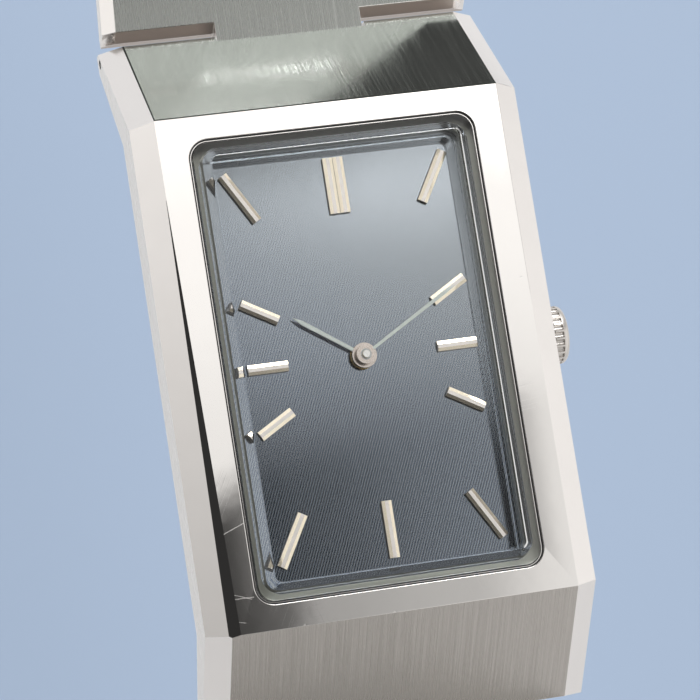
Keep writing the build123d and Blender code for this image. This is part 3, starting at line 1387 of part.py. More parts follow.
def clasp_base():
    """Tray of the clasp: tongue to the last link, floor and two side walls."""
    with BuildPart() as tray:
        near = pin_y(LINKS_PER_SIDE)
        start = clasp_start()
        half = CLASP_WIDTH / 2
        block((-half, half), (start, start + CLASP_LENGTH), (0, CLASP_SIDE_HEIGHT))
        inner = half - CLASP_WALL
        block(
            (-inner, inner),
            (start + CLASP_WALL, start + CLASP_LENGTH + CUT_PAST),
            (CLASP_FLOOR, CLASP_SIDE_HEIGHT),
            Mode.SUBTRACT,
        )
        rod_x(TONGUE_RADIUS, -TONGUE_HALF_WIDTH, TONGUE_HALF_WIDTH, near, LINK_PIN_Z)
        block((-TONGUE_HALF_WIDTH, TONGUE_HALF_WIDTH), (near, start), (0, LINK_THICKNESS))
        rod_x(PIN_BORE, -TONGUE_HALF_WIDTH, TONGUE_HALF_WIDTH, near, LINK_PIN_Z, Mode.SUBTRACT)
        rod_x(PIN_RADIUS, -half, half, clasp_hinge_y(), CLASP_PIN_Z, Mode.SUBTRACT)
    return tray


def clasp_cover():
    """Lid of the clasp, hinged at its far end, with a knuckle and a bent nose."""
    with BuildPart() as lid:
        start = clasp_start()
        half = CLASP_WIDTH / 2
        low = CLASP_COVER_BOTTOM
        high = low + CLASP_COVER_THICKNESS
        lid_end = clasp_hinge_y() - CLASP_LID_END_GAP
        block((-half, half), (start - CLASP_NOSE_LENGTH, lid_end), (low, high))
        reach = half - CLASP_WALL - CLASP_KNUCKLE_GAP
        rod_x(CLASP_KNUCKLE_RADIUS, -reach, reach, clasp_hinge_y(), CLASP_PIN_Z)
        block(
            (-reach, reach),
            (clasp_hinge_y() - 2 * CLASP_KNUCKLE_RADIUS, clasp_hinge_y()),
            (CLASP_PIN_Z, high),
        )
        rod_x(PIN_BORE, -reach, reach, clasp_hinge_y(), CLASP_PIN_Z, Mode.SUBTRACT)
    return lid


def clasp_pin():
    """Hinge pin of the clasp's cover."""
    with BuildPart() as pin:
        half = CLASP_WIDTH / 2
        rod_x(PIN_RADIUS, -half, half, clasp_hinge_y(), CLASP_PIN_Z)
    return pin


def clasp_bar():
    """End piece of the 6 o'clock half: tongue, two arms and the bar that the clasp holds."""
    with BuildPart() as piece:
        near = pin_y(LINKS_PER_SIDE)
        end = near + BAR_LENGTH
        rod_x(TONGUE_RADIUS, -TONGUE_HALF_WIDTH, TONGUE_HALF_WIDTH, -near, LINK_PIN_Z)
        block(
            (-TONGUE_HALF_WIDTH, TONGUE_HALF_WIDTH),
            (-near - PLATE_START, -near),
            (0, LINK_THICKNESS),
        )
        for x in (-BAR_HALF_WIDTH, BAR_HALF_WIDTH - BAR_ARM_WIDTH):
            block((x, x + BAR_ARM_WIDTH), (-end, -near - PLATE_START), (0, BAR_PLATE_THICKNESS))
        rod_x(BAR_ROD_RADIUS, -BAR_HALF_WIDTH, BAR_HALF_WIDTH, -end, BAR_ROD_RADIUS)
        rod_x(PIN_BORE, -TONGUE_HALF_WIDTH, TONGUE_HALF_WIDTH, -near, LINK_PIN_Z, Mode.SUBTRACT)
    return piece


def save(name, piece):
    """Label a sub-part and write its STEP file."""
    piece.part.label = name
    export_step(piece.part, f"parts/{name}.step")


def main():
    """Build every sub-part."""
    os.makedirs("parts", exist_ok=True)
    makers = (
        case_body,
        crystal,
        crystal_gasket,
        dial,
        hour_markers,
        hour_hand,
        minute_hand,
        hour_wheel,
        cannon_pinion,
        minute_wheel,
        centre_wheel,
        third_wheel,
        fourth_wheel,
        escape_wheel,
        pallet_fork,
        balance_wheel,
        hairspring,
        barrel,
        barrel_cover,
        mainspring,
        barrel_arbor,
        main_plate,
        train_bridge,
        pallet_bridge,
        balance_cock,
        automatic_bridge,
        bridge_screws,
        rotor,
        rotor_axle,
        movement_ring,
        casing_clamps,
        casing_screws,
        case_back,
        back_gasket,
        back_screws,
        crown_tube,
        crown,
        winding_stem,
        setting_lever,
        lug_pins,
        clasp_base,
        clasp_cover,
        clasp_pin,
        clasp_bar,
    )
    for maker in makers:
        save(maker.__name__, maker())
    for side, half in ((1, "upper"), (-1, "lower")):
        for index in range(LINKS_PER_SIDE):
            save(f"{half}_link_{index + 1}", link(side, index))
            save(f"{half}_link_pin_{index + 1}", link_pin(side, index + 1))


if __name__ == "__main__":
    main()
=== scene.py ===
"""Looks of a rectangular steel wristwatch on an integrated bracelet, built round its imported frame."""

import logging
import math
from collections.abc import Callable, Iterable, Iterator
from dataclasses import dataclass, field
from enum import Enum

import bmesh
import bpy
from mathutils import Euler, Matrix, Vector

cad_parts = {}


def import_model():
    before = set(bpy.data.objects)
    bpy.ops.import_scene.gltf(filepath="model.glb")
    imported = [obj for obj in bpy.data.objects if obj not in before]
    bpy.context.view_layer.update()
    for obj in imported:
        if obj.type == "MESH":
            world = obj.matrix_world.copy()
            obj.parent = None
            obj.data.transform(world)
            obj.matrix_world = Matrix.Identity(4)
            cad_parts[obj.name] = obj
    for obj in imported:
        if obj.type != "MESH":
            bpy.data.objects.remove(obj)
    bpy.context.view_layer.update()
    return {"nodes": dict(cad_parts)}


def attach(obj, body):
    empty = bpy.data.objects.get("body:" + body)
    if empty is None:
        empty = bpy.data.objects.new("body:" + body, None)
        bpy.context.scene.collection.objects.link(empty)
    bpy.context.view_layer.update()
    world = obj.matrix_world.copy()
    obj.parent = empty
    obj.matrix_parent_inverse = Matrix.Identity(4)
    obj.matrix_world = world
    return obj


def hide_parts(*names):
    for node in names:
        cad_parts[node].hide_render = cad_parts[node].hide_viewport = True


LOG = logging.getLogger("watch")
MM = 0.001
EDGE_LAYER = "edge"
LINKS_PER_HALF = 4

Colour = tuple[float, float, float]
Point = tuple[float, float, float]
Span = tuple[float, float]
Levels = tuple[tuple[float, float], ...]
Node = bpy.types.Node
Socket = bpy.types.NodeSocket
Tree = bpy.types.NodeTree
Material = bpy.types.Material
Value = Socket | float | tuple[float, ...]
Face = bmesh.types.BMFace
Edge = bmesh.types.BMEdge
Shape = bmesh.types.BMesh
EdgeRule = Callable[[Edge], bool]


class Body(Enum):
    """The moving bodies that new pieces ride on, apart from the links."""

    CASE = "case"
    MINUTE = "minute"
    HOUR = "hour"
    CROWN = "crown"
    CLASP = "clasp"
    CLASP_COVER = "clasp_cover"
    CLASP_BAR = "clasp_bar"


class Slot(Enum):
    """The record's finishes that a new piece can be repainted from."""

    CASE_STEEL = "case_steel"
    CRYSTAL = "crystal"
    GASKET = "gasket"
    MOVEMENT = "wheel_brass"
    APPLIED = "applied"
    HANDS = "hands"
    CROWN_STEEL = "crown_steel"
    BRACELET_STEEL = "bracelet_steel"


class Grain(Enum):
    """How a metal surface was worked."""

    POLISHED = "polished"
    BRUSHED_ALONG = "brushed along the bracelet"
    SATIN_WALL = "satin, lines along the wall"


# Node graphs


def opaque(colour: Value) -> Value:
    """A written colour with full alpha; a socket is passed on as it is."""
    return (*colour, 1.0) if isinstance(colour, tuple) else colour


class Graph:
    """A short way to lay out the nodes of one tree."""

    NUMBER_RESULTS = ("LENGTH", "DOT_PRODUCT")
    COLOUR_MIX = (0, 6, 7)
    NUMBER_MIX = (0, 2, 3)

    def __init__(self, tree: Tree) -> None:
        """Keeps the tree that the nodes go into."""
        self.tree = tree

    def add(self, kind: str, **settings: object) -> Node:
        """Adds a node.

        Args:
            kind: The node's type name.
            settings: Properties to set on it.

        Returns:
            The new node.
        """
        node = self.tree.nodes.new(kind)
        for key, value in settings.items():
            setattr(node, key, value)
        return node

    def feed(self, socket: Socket, value: Value) -> None:
        """Links a socket into another, or sets its value.

        Args:
            socket: The input.
            value: What goes into it.
        """
        if isinstance(value, Socket):
            self.tree.links.new(value, socket)
        else:
            socket.default_value = value

    def fill(self, node: Node, **values: Value) -> Node:
        """Feeds a node's inputs by name.

        Args:
            node: The node.
            values: What goes into its inputs, with _ for a space in a name.

        Returns:
            The same node.
        """
        for name, value in values.items():
            self.feed(node.inputs[name.replace("_", " ")], value)
        return node

    def fill_in_order(self, node: Node, values: Iterable[Value]) -> Node:
        """Feeds a node's first inputs in order.

        Args:
            node: The node.
            values: What goes into its inputs.

        Returns:
            The same node.
        """
        for socket, value in zip(node.inputs, values):
            self.feed(socket, value)
        return node

    def math(self, operation: str, *values: Value) -> Socket:
        """The output of a Math node whose inputs are fed in order."""
        node = self.add("ShaderNodeMath", operation=operation)
        return self.fill_in_order(node, values).outputs[0]

    def times(self, first: Value, second: Value) -> Socket:
        """The product of two numbers."""
        return self.math("MULTIPLY", first, second)

    def vector(self, operation: str, *values: Value) -> Socket:
        """A Vector Math node's vector, or its number for lengths and dot products."""
        node = self.add("ShaderNodeVectorMath", operation=operation)
        return self.fill_in_order(node, values).outputs[int(operation in self.NUMBER_RESULTS)]

    def scale(self, vector: Value, factor: Value) -> Socket:
        """A vector times a number."""
        node = self.add("ShaderNodeVectorMath", operation="SCALE")
        return self.fill(node, Vector=vector, Scale=factor).outputs[0]

    def turn(self, vector: Value, axis: str, angle: float) -> Socket:
        """A vector turned about an axis, by an angle in radians."""
        node = self.add("ShaderNodeVectorRotate", rotation_type=f"{axis}_AXIS")
        return self.fill(node, Vector=vector, Angle=angle).outputs[0]

    def split(self, vector: Value) -> tuple[Socket, ...]:
        """The X, Y and Z of a vector."""
        node = self.add("ShaderNodeSeparateXYZ")
        return tuple(self.fill(node, Vector=vector).outputs)

    def smooth(self, value: Value, span: Span, start: float = 0.0, end: float = 1.0) -> Socket:
        """A smooth step from one number below a span to another above it."""
        node = self.add("ShaderNodeMapRange", interpolation_type="SMOOTHSTEP")
        return self.fill_in_order(node, (value, *span, start, end)).outputs[0]

    def fall(self, value: Value, span: Span) -> Socket:
        """A smooth step from one down to nothing."""
        return self.smooth(value, span, 1.0, 0.0)

    def opening(self, value: Value, rise: Span, fall: Span, least: float = 0.0) -> Socket:
        """A number that rises from the least to one over a span and falls to nothing over another."""
        return self.times(self.smooth(value, rise, least), self.fall(value, fall))

    def mix(self, factor: Value, first: Value, second: Value) -> Socket:
        """Mixes two colours.

        Args:
            factor: How far to go from the first to the second, 0 to 1.
            first: A colour.
            second: Another.

        Returns:
            The mixed colour.
        """
        node = self.add("ShaderNodeMix", data_type="RGBA")
        for index, value in zip(self.COLOUR_MIX, (factor, opaque(first), opaque(second))):
            self.feed(node.inputs[index], value)
        return node.outputs[2]

    def blend(self, factor: Value, first: Value, second: Value) -> Socket:
        """Mixes two numbers.

        Args:
            factor: How far to go from the first to the second, 0 to 1.
            first: A number.
            second: Another.

        Returns:
            The mixed number.
        """
        node = self.add("ShaderNodeMix", data_type="FLOAT")
        for index, value in zip(self.NUMBER_MIX, (factor, first, second)):
            self.feed(node.inputs[index], value)
        return node.outputs[0]

    def noise(self, vector: Value, scale: float, detail: float = 2.0, roughness: float = 0.5) -> Socket:
        """A Noise Texture's value.

        Args:
            vector: Where it is read.
            scale: Its scale, in cells per metre.
            detail: Its octaves.
            roughness: How strong the finer octaves are.

        Returns:
            A number about 0.5.
        """
        node = self.add("ShaderNodeTexNoise")
        self.fill(node, Vector=vector, Scale=scale, Detail=detail, Roughness=roughness)
        return node.outputs[0]

    def group(self, tree: Tree, **values: Value) -> Node:
        """Places a node group and feeds its inputs by name."""
        return self.fill(self.add("ShaderNodeGroup", node_tree=tree), **values)

    def mask(self, tree: Tree, **values: Value) -> Socket:
        """Places a node group, feeds its inputs by name and returns its mask."""
        return self.group(tree, **values).outputs["Mask"]


class Effects:
    """Node groups that more than one material uses, each built once."""

    LINE_ROUGHNESS = 0.55
    BAND_STRETCH = (0.3, 0.5, 0.5)
    BAND_SHARE = 0.35
    TONE_SPAN = (0.4, 0.95)
    SCRATCH_TURNS = ((0.5, 1.3), (-0.35, 7.1), (1.45, 3.7))
    SCRATCH_STRETCH = (1.0, 0.02, 1.0)
    NOISE_MIDDLE = 0.5
    HAIR_SPAN = (0.0, 0.012)
    PATCH_SCALE = 0.11
    PATCH_SPAN = (0.56, 0.66)
    SPECK_SPAN = (0.8, 0.98)
    SPECK_RIM = (0.0, 0.04)
    RUB_SCALE = 2400.0
    RUB_SPAN = (0.35, 0.6)
    RUB_LEAST = 0.35
    MARK_RIM = (0.4, 1.0)

    def __init__(self) -> None:
        """Builds the groups."""
        self.brushing = self._brushing()
        self.scratches = self._scratches()
        self.specks = self._specks()
        self.rub = self._rub()
        self.mark = self._mark()

    @staticmethod
    def _start(name: str, inputs: dict[str, str], outputs: Iterable[str]) -> tuple[Graph, Node, Node]:
        """Makes an empty group with its sockets.

        Args:
            name: The group's name.
            inputs: The kind of each input, by its name.
            outputs: Names of its outputs, which are numbers.

        Returns:
            The graph, the input node and the output node.
        """
        tree = bpy.data.node_groups.new(name, "ShaderNodeTree")
        for label, kind in inputs.items():
            tree.interface.new_socket(label, in_out="INPUT", socket_type=f"NodeSocket{kind}")
        for label in outputs:
            tree.interface.new_socket(label, in_out="OUTPUT", socket_type="NodeSocketFloat")
        graph = Graph(tree)
        return graph, graph.add("NodeGroupInput"), graph.add("NodeGroupOutput")

    def _brushing(self) -> Tree:
        """Long fine lines that run along Y and Z and change across X.

        Returns:
            The group.
        """
        inputs = {"Vector": "Vector", "Across": "Float", "Along": "Float"}
        graph, ins, outs = self._start("brushing", inputs, ("Height", "Tone"))
        along = ins.outputs["Along"]
        stretch = graph.fill(graph.add("ShaderNodeCombineXYZ"), X=ins.outputs["Across"], Y=along, Z=along)
        fine = graph.vector("MULTIPLY", ins.outputs["Vector"], stretch.outputs[0])
        broad = graph.vector("MULTIPLY", fine, self.BAND_STRETCH)
        lines = graph.noise(fine, 1.0, roughness=self.LINE_ROUGHNESS)
        bands = graph.noise(broad, 1.0)
        height = graph.math("MULTIPLY_ADD", bands, self.BAND_SHARE, lines)
        graph.fill(outs, Height=height, Tone=graph.smooth(height, self.TONE_SPAN))
        return graph.tree

    def _scratches(self) -> Tree:
        """Hair-fine scratches in three directions, in patches.

        Returns:
            The group.
        """
        inputs = {"Vector": "Vector", "Scale": "Float", "Amount": "Float"}
        graph, ins, outs = self._start("scratches", inputs, ("Mask",))
        total: Value = 0.0
        for angle, offset in self.SCRATCH_TURNS:
            turned = graph.turn(ins.outputs["Vector"], "Z", angle)
            scaled = graph.scale(turned, ins.outputs["Scale"])
            thin = graph.vector("MULTIPLY", scaled, self.SCRATCH_STRETCH)
            moved = graph.vector("ADD", thin, (offset, offset, 0.0))
            away = graph.math("SUBTRACT", graph.noise(moved, 1.0, detail=1.0), self.NOISE_MIDDLE)
            hair = graph.fall(graph.math("ABSOLUTE", away), self.HAIR_SPAN)
            apart = graph.vector("ADD", scaled, (offset, 0.0, offset))
            shown = graph.smooth(graph.noise(apart, self.PATCH_SCALE, detail=1.0), self.PATCH_SPAN)
            total = graph.math("MULTIPLY_ADD", hair, shown, total)
        graph.fill(outs, Mask=graph.times(total, ins.outputs["Amount"]))
        return graph.tree

    def _specks(self) -> Tree:
        """Small round specks of dust, of uneven size.

        Returns:
            The group.
        """
        inputs = {"Vector": "Vector", "Scale": "Float", "Amount": "Float"}
        graph, ins, outs = self._start("specks", inputs, ("Mask",))
        cells = graph.add("ShaderNodeTexVoronoi")
        graph.fill(cells, Vector=ins.outputs["Vector"], Scale=ins.outputs["Scale"])
        chance = graph.fill(graph.add("ShaderNodeSeparateColor"), Color=cells.outputs["Color"]).outputs[0]
        size = graph.times(graph.smooth(chance, self.SPECK_SPAN), ins.outputs["Amount"])
        inside = graph.math("SUBTRACT", size, cells.outputs["Distance"])
        graph.fill(outs, Mask=graph.smooth(inside, self.SPECK_RIM))
        return graph.tree

    def _rub(self) -> Tree:
        """Rubbed edges: strongest on the rounded edge strips, broken up by noise.

        Returns:
            The group.
        """
        inputs = {"Vector": "Vector", "Strength": "Float"}
        graph, ins, outs = self._start("rubbed edges", inputs, ("Mask",))
        edge = graph.add("ShaderNodeAttribute", attribute_name=EDGE_LAYER)
        cloud = graph.noise(ins.outputs["Vector"], self.RUB_SCALE, detail=3.0, roughness=0.7)
        broken = graph.smooth(cloud, self.RUB_SPAN, self.RUB_LEAST)
        wear_and_glint = graph.times(edge.outputs["Fac"], broken)
        graph.fill(outs, Mask=graph.times(wear_and_glint, ins.outputs["Strength"]))
        return graph.tree

    def _mark(self) -> Tree:
        """One straight mark from a middle point along a direction.

        Returns:
            The group.
        """
        inputs = {
            "Vector": "Vector",
            "Middle": "Vector",
            "Along": "Vector",
            "Reach": "Float",
            "Width": "Float",
        }
        graph, ins, outs = self._start("single mark", inputs, ("Mask",))
        away = graph.vector("SUBTRACT", ins.outputs["Vector"], ins.outputs["Middle"])
        run = graph.vector("DOT_PRODUCT", away, ins.outputs["Along"])
        reach = ins.outputs["Reach"]
        held = graph.math("MINIMUM", graph.math("MAXIMUM", run, graph.times(reach, -1.0)), reach)
        spine = graph.scale(ins.outputs["Along"], held)
        off = graph.vector("LENGTH", graph.vector("SUBTRACT", away, spine))
        share = graph.math("DIVIDE", off, ins.outputs["Width"])
        graph.fill(outs, Mask=graph.fall(share, self.MARK_RIM))
        return graph.tree


# Finishes


class Paint(Graph):
    """A material's nodes round its Principled shader."""

    def __init__(self, name: str) -> None:
        """Makes the material and reads Object coordinates as its place.

        Args:
            name: The material's name.
        """
        self.material = bpy.data.materials.new(name)
        self.material.use_nodes = True
        super().__init__(self.material.node_tree)
        self.shader = self.tree.nodes["Principled BSDF"]
        self.place = self.add("ShaderNodeTexCoord").outputs["Object"]

    def shade(self, **values: Value) -> None:
        """Feeds the shader's inputs by name, with _ for a space."""
        self.fill(self.shader, **values)

    def bump(self, height: Value, depth: float, strength: float = 1.0) -> None:
        """Raises the surface in the shading.

        Args:
            height: The height map.
            depth: What a height of one stands for, in millimetres.
            strength: The bump's strength.
        """
        node = self.add("ShaderNodeBump")
        self.fill(node, Strength=strength, Distance=depth * MM, Height=height)
        self.shade(Normal=node.outputs[0])

    def swap_shader(self, when: Socket, other: Node) -> None:
        """Shows another shader where a factor is one.

        Args:
            when: The factor.
            other: The other shader's node.
        """
        choose = self.add("ShaderNodeMixShader")
        self.fill_in_order(choose, (when, self.shader.outputs[0], other.outputs[0]))
        self.fill(self.tree.nodes["Material Output"], Surface=choose.outputs[0])


@dataclass(frozen=True)
class SingleMark:
    """A scratch or ding that shows in the photograph, in millimetres."""

    middle: Point
    along: Point
    reach: float
    width: float


@dataclass(frozen=True)
class Steel:
    """Worked metal: its colour, polish or brushing, wear and dust."""

    name: str
    colour: Colour
    roughness: float
    grain: Grain = Grain.POLISHED
    across: float = 9000.0
    along: float = 160.0
    depth: float = 0.0
    tone: float = 0.0
    waves: float = 0.0
    scratches: float = 0.0
    specks: float = 0.0
    rub: float = 0.3
    metallic: float = 1.0
    marks: tuple[SingleMark, ...] = ()
    dark_share: float = 0.55
    bright_share: float = 1.08
    line_roughness: float = 0.16
    cloud_scale: float = 260.0
    cloud_roughness: float = 0.03
    wave_scale: float = 420.0
    scratch_scale: float = 2600.0
    mark_share: float = 0.55
    rub_share: float = 0.5
    worn_roughness: float = 0.28
    worn_height: float = -0.6
    dust_scale: float = 1500.0
    dust_colour: Colour = (0.62, 0.6, 0.57)
    dust_roughness: float = 0.5

    def _worked(self, paint: Paint, effects: Effects) -> tuple[Socket, Socket, Socket]:
        """The metal as it left the bench.

        Args:
            paint: The material's nodes.
            effects: The shared node groups.

        Returns:
            Its colour, roughness and height.
        """
        dark = tuple(self.dark_share * c for c in self.colour)
        bright = tuple(min(1.0, self.bright_share * c) for c in self.colour)
        if self.grain is Grain.POLISHED:
            cloud = paint.noise(paint.place, self.cloud_scale, detail=3.0, roughness=0.6)
            colour = paint.mix(paint.times(cloud, self.tone), bright, dark)
            rough = paint.math("MULTIPLY_ADD", cloud, self.cloud_roughness, self.roughness)
            return colour, rough, paint.times(paint.noise(paint.place, self.wave_scale), self.waves)
        vector = paint.place
        if self.grain is Grain.SATIN_WALL:
            vector = paint.turn(paint.place, "Y", math.pi / 2)
        lines = paint.group(effects.brushing, Vector=vector, Across=self.across, Along=self.along)
        tone = lines.outputs["Tone"]
        colour = paint.mix(paint.times(tone, self.tone), bright, dark)
        least = self.roughness - self.line_roughness / 2
        rough = paint.math("MULTIPLY_ADD", tone, self.line_roughness, least)
        return colour, rough, lines.outputs["Height"]

    def _marked(self, paint: Paint, effects: Effects) -> Value:
        """The scratches and single marks.

        Args:
            paint: The material's nodes.
            effects: The shared node groups.

        Returns:
            Their mask.
        """
        wear: Value = 0.0
        if self.scratches:
            scale = self.scratch_scale
            wear = paint.mask(effects.scratches, Vector=paint.place, Scale=scale, Amount=self.scratches)
        for mark in self.marks:
            line = paint.mask(
                effects.mark,
                Vector=paint.place,
                Middle=tuple(MM * c for c in mark.middle),
                Along=tuple(Vector(mark.along).normalized()),
                Reach=mark.reach * MM,
                Width=mark.width * MM,
            )
            wear = paint.math("MULTIPLY_ADD", line, self.mark_share, wear)
        return wear

    def make(self, effects: Effects) -> Material:
        """Builds the material.

        Args:
            effects: The shared node groups.

        Returns:
            The material.
        """
        paint = Paint(self.name)
        colour, rough, height = self._worked(paint, effects)
        wear = self._marked(paint, effects)
        rubbed = paint.times(paint.mask(effects.rub, Vector=paint.place, Strength=self.rub), self.rub_share)
        wear_and_glint = paint.math("MINIMUM", paint.math("ADD", wear, rubbed), 1.0)
        rough = paint.math("MULTIPLY_ADD", wear_and_glint, self.worn_roughness, rough)
        height = paint.math("MULTIPLY_ADD", wear, self.worn_height, height)
        if self.specks:
            dust = paint.mask(effects.specks, Vector=paint.place, Scale=self.dust_scale, Amount=self.specks)
            colour = paint.mix(dust, colour, self.dust_colour)
            rough = paint.math("MULTIPLY_ADD", dust, self.dust_roughness, rough)
        paint.shade(Base_Color=colour, Roughness=rough, Metallic=self.metallic)
        paint.bump(height, self.depth)
        return paint.material


@dataclass(frozen=True)
class CrystalGlass:
    """Thick clear crystal with a little dust and hair-fine marks."""

    name: str = "crystal_glass"
    colour: Colour = (0.985, 0.995, 0.99)
    roughness: float = 0.0
    shine: float = 0.25
    cloud_colour: Colour = (0.97, 0.99, 0.985)
    cloud_scale: float = 90.0
    index: float = 1.5
    dust_scale: float = 900.0
    dust_amount: float = 0.1
    dust_roughness: float = 0.25
    hair_scale: float = 1500.0
    hair_amount: float = 0.25
    hair_roughness: float = 0.08
    shadow_colour: Colour = (0.93, 0.94, 0.94)

    def make(self, effects: Effects) -> Material:
        """Builds the material; shadow rays pass, so that what lies under it is lit.

        Args:
            effects: The shared node groups.

        Returns:
            The material.
        """
        paint = Paint(self.name)
        tint = opaque((self.shine, self.shine, self.shine))
        paint.shade(Metallic=0.0, Transmission_Weight=1.0, IOR=self.index, Specular_Tint=tint)
        cloud = paint.noise(paint.place, self.cloud_scale)
        dust = paint.mask(effects.specks, Vector=paint.place, Scale=self.dust_scale, Amount=self.dust_amount)
        hair = paint.mask(
            effects.scratches, Vector=paint.place, Scale=self.hair_scale, Amount=self.hair_amount
        )
        dulled = paint.times(dust, self.dust_roughness)
        soiled = paint.math("ADD", dulled, paint.times(hair, self.hair_roughness))
        paint.shade(
            Base_Color=paint.mix(cloud, self.colour, self.cloud_colour),
            Roughness=paint.math("ADD", soiled, self.roughness),
        )
        clear = paint.fill(paint.add("ShaderNodeBsdfTransparent"), Color=opaque(self.shadow_colour))
        paint.swap_shader(paint.add("ShaderNodeLightPath").outputs["Is Shadow Ray"], clear)
        return paint.material


@dataclass(frozen=True)
class RibbedLacquer:
    """Slate blue metallic lacquer over fine parallel ribs, which deepen toward the lower left. The colour
    carries painted shade: the rib hollows are painted darker toward the lower left and fade to the light
    lacquer toward the upper right.
    """

    name: str = "dial_lacquer"
    low: Colour = (0.18, 0.212, 0.28)
    high: Colour = (0.335, 0.357, 0.39)
    lean: float = math.radians(24.0)
    pitch: float = 0.186
    waver: float = 0.6
    waver_scale: float = 90.0
    slope: float = 0.02
    slope_least: float = 0.15
    crown: float = 1.6
    fade_low: float = -6.0
    fade_high: float = 13.0
    fade_lean: float = 0.6
    roughness: float = 0.08
    cloud_colour: Colour = (0.26, 0.29, 0.34)
    cloud_share: float = 0.15
    cloud_scale: float = 120.0
    cloud_roughness: float = 0.04
    dust_colour: Colour = (0.5, 0.5, 0.5)
    dust_scale: float = 700.0
    dust_amount: float = 0.09

    def _colour(self, paint: Paint, effects: Effects, rib: Socket, cloud: Socket) -> Socket:
        """The lacquer's colour.

        Args:
            paint: The material's nodes.
            effects: The shared node groups.
            rib: Where a rib is high, with the painted shade that darkens the hollows toward the lower left.
            cloud: The lacquer's unevenness.

        Returns:
            The colour.
        """
        lacquer = paint.mix(rib, self.low, self.high)
        tint = paint.mix(paint.times(cloud, self.cloud_share), lacquer, self.cloud_colour)
        dust = paint.mask(effects.specks, Vector=paint.place, Scale=self.dust_scale, Amount=self.dust_amount)
        return paint.mix(dust, tint, self.dust_colour)

    def _normal(self, paint: Paint, phase: Socket, rib_depth_and_shade: Socket) -> Socket:
        """The dial's slightly domed normal, tilted by each rib.

        Args:
            paint: The material's nodes.
            phase: The place across the ribs, in radians.
            rib_depth_and_shade: How deep the ribs are; the same mask paints the hollows darker toward the
                lower left, as painted shade.

        Returns:
            The normal.
        """
        across = paint.add(
            "ShaderNodeVectorTransform", vector_type="VECTOR", convert_from="OBJECT", convert_to="WORLD"
        )
        paint.fill(across, Vector=(math.cos(self.lean), -math.sin(self.lean), 0.0))
        least = -self.slope_least * self.slope
        depth = paint.math("MULTIPLY_ADD", rib_depth_and_shade, -(1.0 - self.slope_least) * self.slope, least)
        tilt = paint.scale(across.outputs[0], paint.times(paint.math("COSINE", phase), depth))
        dome = paint.vector("MULTIPLY", paint.place, (0.0, self.crown, 0.0))
        upright = paint.vector("ADD", paint.add("ShaderNodeNewGeometry").outputs["Normal"], dome)
        return paint.vector("NORMALIZE", paint.vector("ADD", upright, tilt))

    def make(self, effects: Effects) -> Material:
        """Builds the material.

        Args:
            effects: The shared node groups.

        Returns:
            The material.
        """
        paint = Paint(self.name)
        across = paint.split(paint.turn(paint.place, "Z", self.lean))[0]
        waver = paint.times(paint.noise(paint.place, self.waver_scale, detail=1.0), self.waver)
        phase = paint.math("MULTIPLY_ADD", across, 2 * math.pi / (self.pitch * MM), waver)
        x, y, _ = paint.split(paint.place)
        along = paint.math("MULTIPLY_ADD", x, self.fade_lean, y)
        # Painted shade: this mask rises toward the lower left, where it deepens the ribs' slope and paints
        # their hollows darker.
        rib_depth_and_shade = paint.fall(along, (self.fade_low * MM, self.fade_high * MM))
        hollow = paint.math("MULTIPLY_ADD", paint.math("SINE", phase), -0.5, 0.5)
        rib = paint.math("SUBTRACT", 1.0, paint.times(rib_depth_and_shade, hollow))
        cloud = paint.noise(paint.place, self.cloud_scale)
        paint.shade(
            Base_Color=self._colour(paint, effects, rib, cloud),
            Metallic=1.0,
            Roughness=paint.math("MULTIPLY_ADD", cloud, self.cloud_roughness, self.roughness),
            Normal=self._normal(paint, phase, rib_depth_and_shade),
        )
        return paint.material


@dataclass(frozen=True)
class Coating:
    """A plain non-metal or lightly metallic coat with fine unevenness."""

    name: str
    colour: Colour
    roughness: float
    metallic: float = 0.0
    scale: float = 3000.0
    tone: float = 0.3
    depth: float = 0.002
    dark_share: float = 0.5
    grain_roughness: float = 0.12
    bump_strength: float = 0.6
    dust_colour: Colour = (0.6, 0.59, 0.57)
    dust_scale: float = 1800.0
    dust_amount: float = 0.1
    dust_share: float = 0.4

    def make(self, effects: Effects) -> Material:
        """Builds the material.

        Args:
            effects: The shared node groups.

        Returns:
            The material.
        """
        paint = Paint(self.name)
        grain = paint.noise(paint.place, self.scale, detail=3.0, roughness=0.6)
        dark = tuple(self.dark_share * c for c in self.colour)
        base = paint.mix(paint.times(grain, self.tone), self.colour, dark)
        dust = paint.mask(effects.specks, Vector=paint.place, Scale=self.dust_scale, Amount=self.dust_amount)
        least = self.roughness - self.grain_roughness / 2
        paint.shade(
            Base_Color=paint.mix(paint.times(dust, self.dust_share), base, self.dust_colour),
            Roughness=paint.math("MULTIPLY_ADD", grain, self.grain_roughness, least),
            Metallic=self.metallic,
        )
        paint.bump(grain, self.depth, self.bump_strength)
        return paint.material


FRAME_MARKS = (
    SingleMark((-11.48, -15.62, 10.4), (0.93, -0.35, 0.0), 0.79, 0.022),
    SingleMark((-11.39, -15.77, 10.4), (1.0, -0.01, 0.0), 0.81, 0.022),
    SingleMark((-11.43, -10.98, 10.4), (0.93, 0.36, 0.0), 1.01, 0.022),
    SingleMark((-11.75, -17.39, 10.4), (0.97, -0.24, 0.0), 0.35, 0.02),
    SingleMark((12.01, 4.03, 10.4), (1.0, 0.0, 0.0), 0.03, 0.08),
    SingleMark((-0.89, -18.21, 10.38), (0.8, 0.6, 0.0), 0.06, 0.07),
    SingleMark((-7.34, -18.2, 10.38), (0.8, 0.6, 0.0), 0.05, 0.06),
)


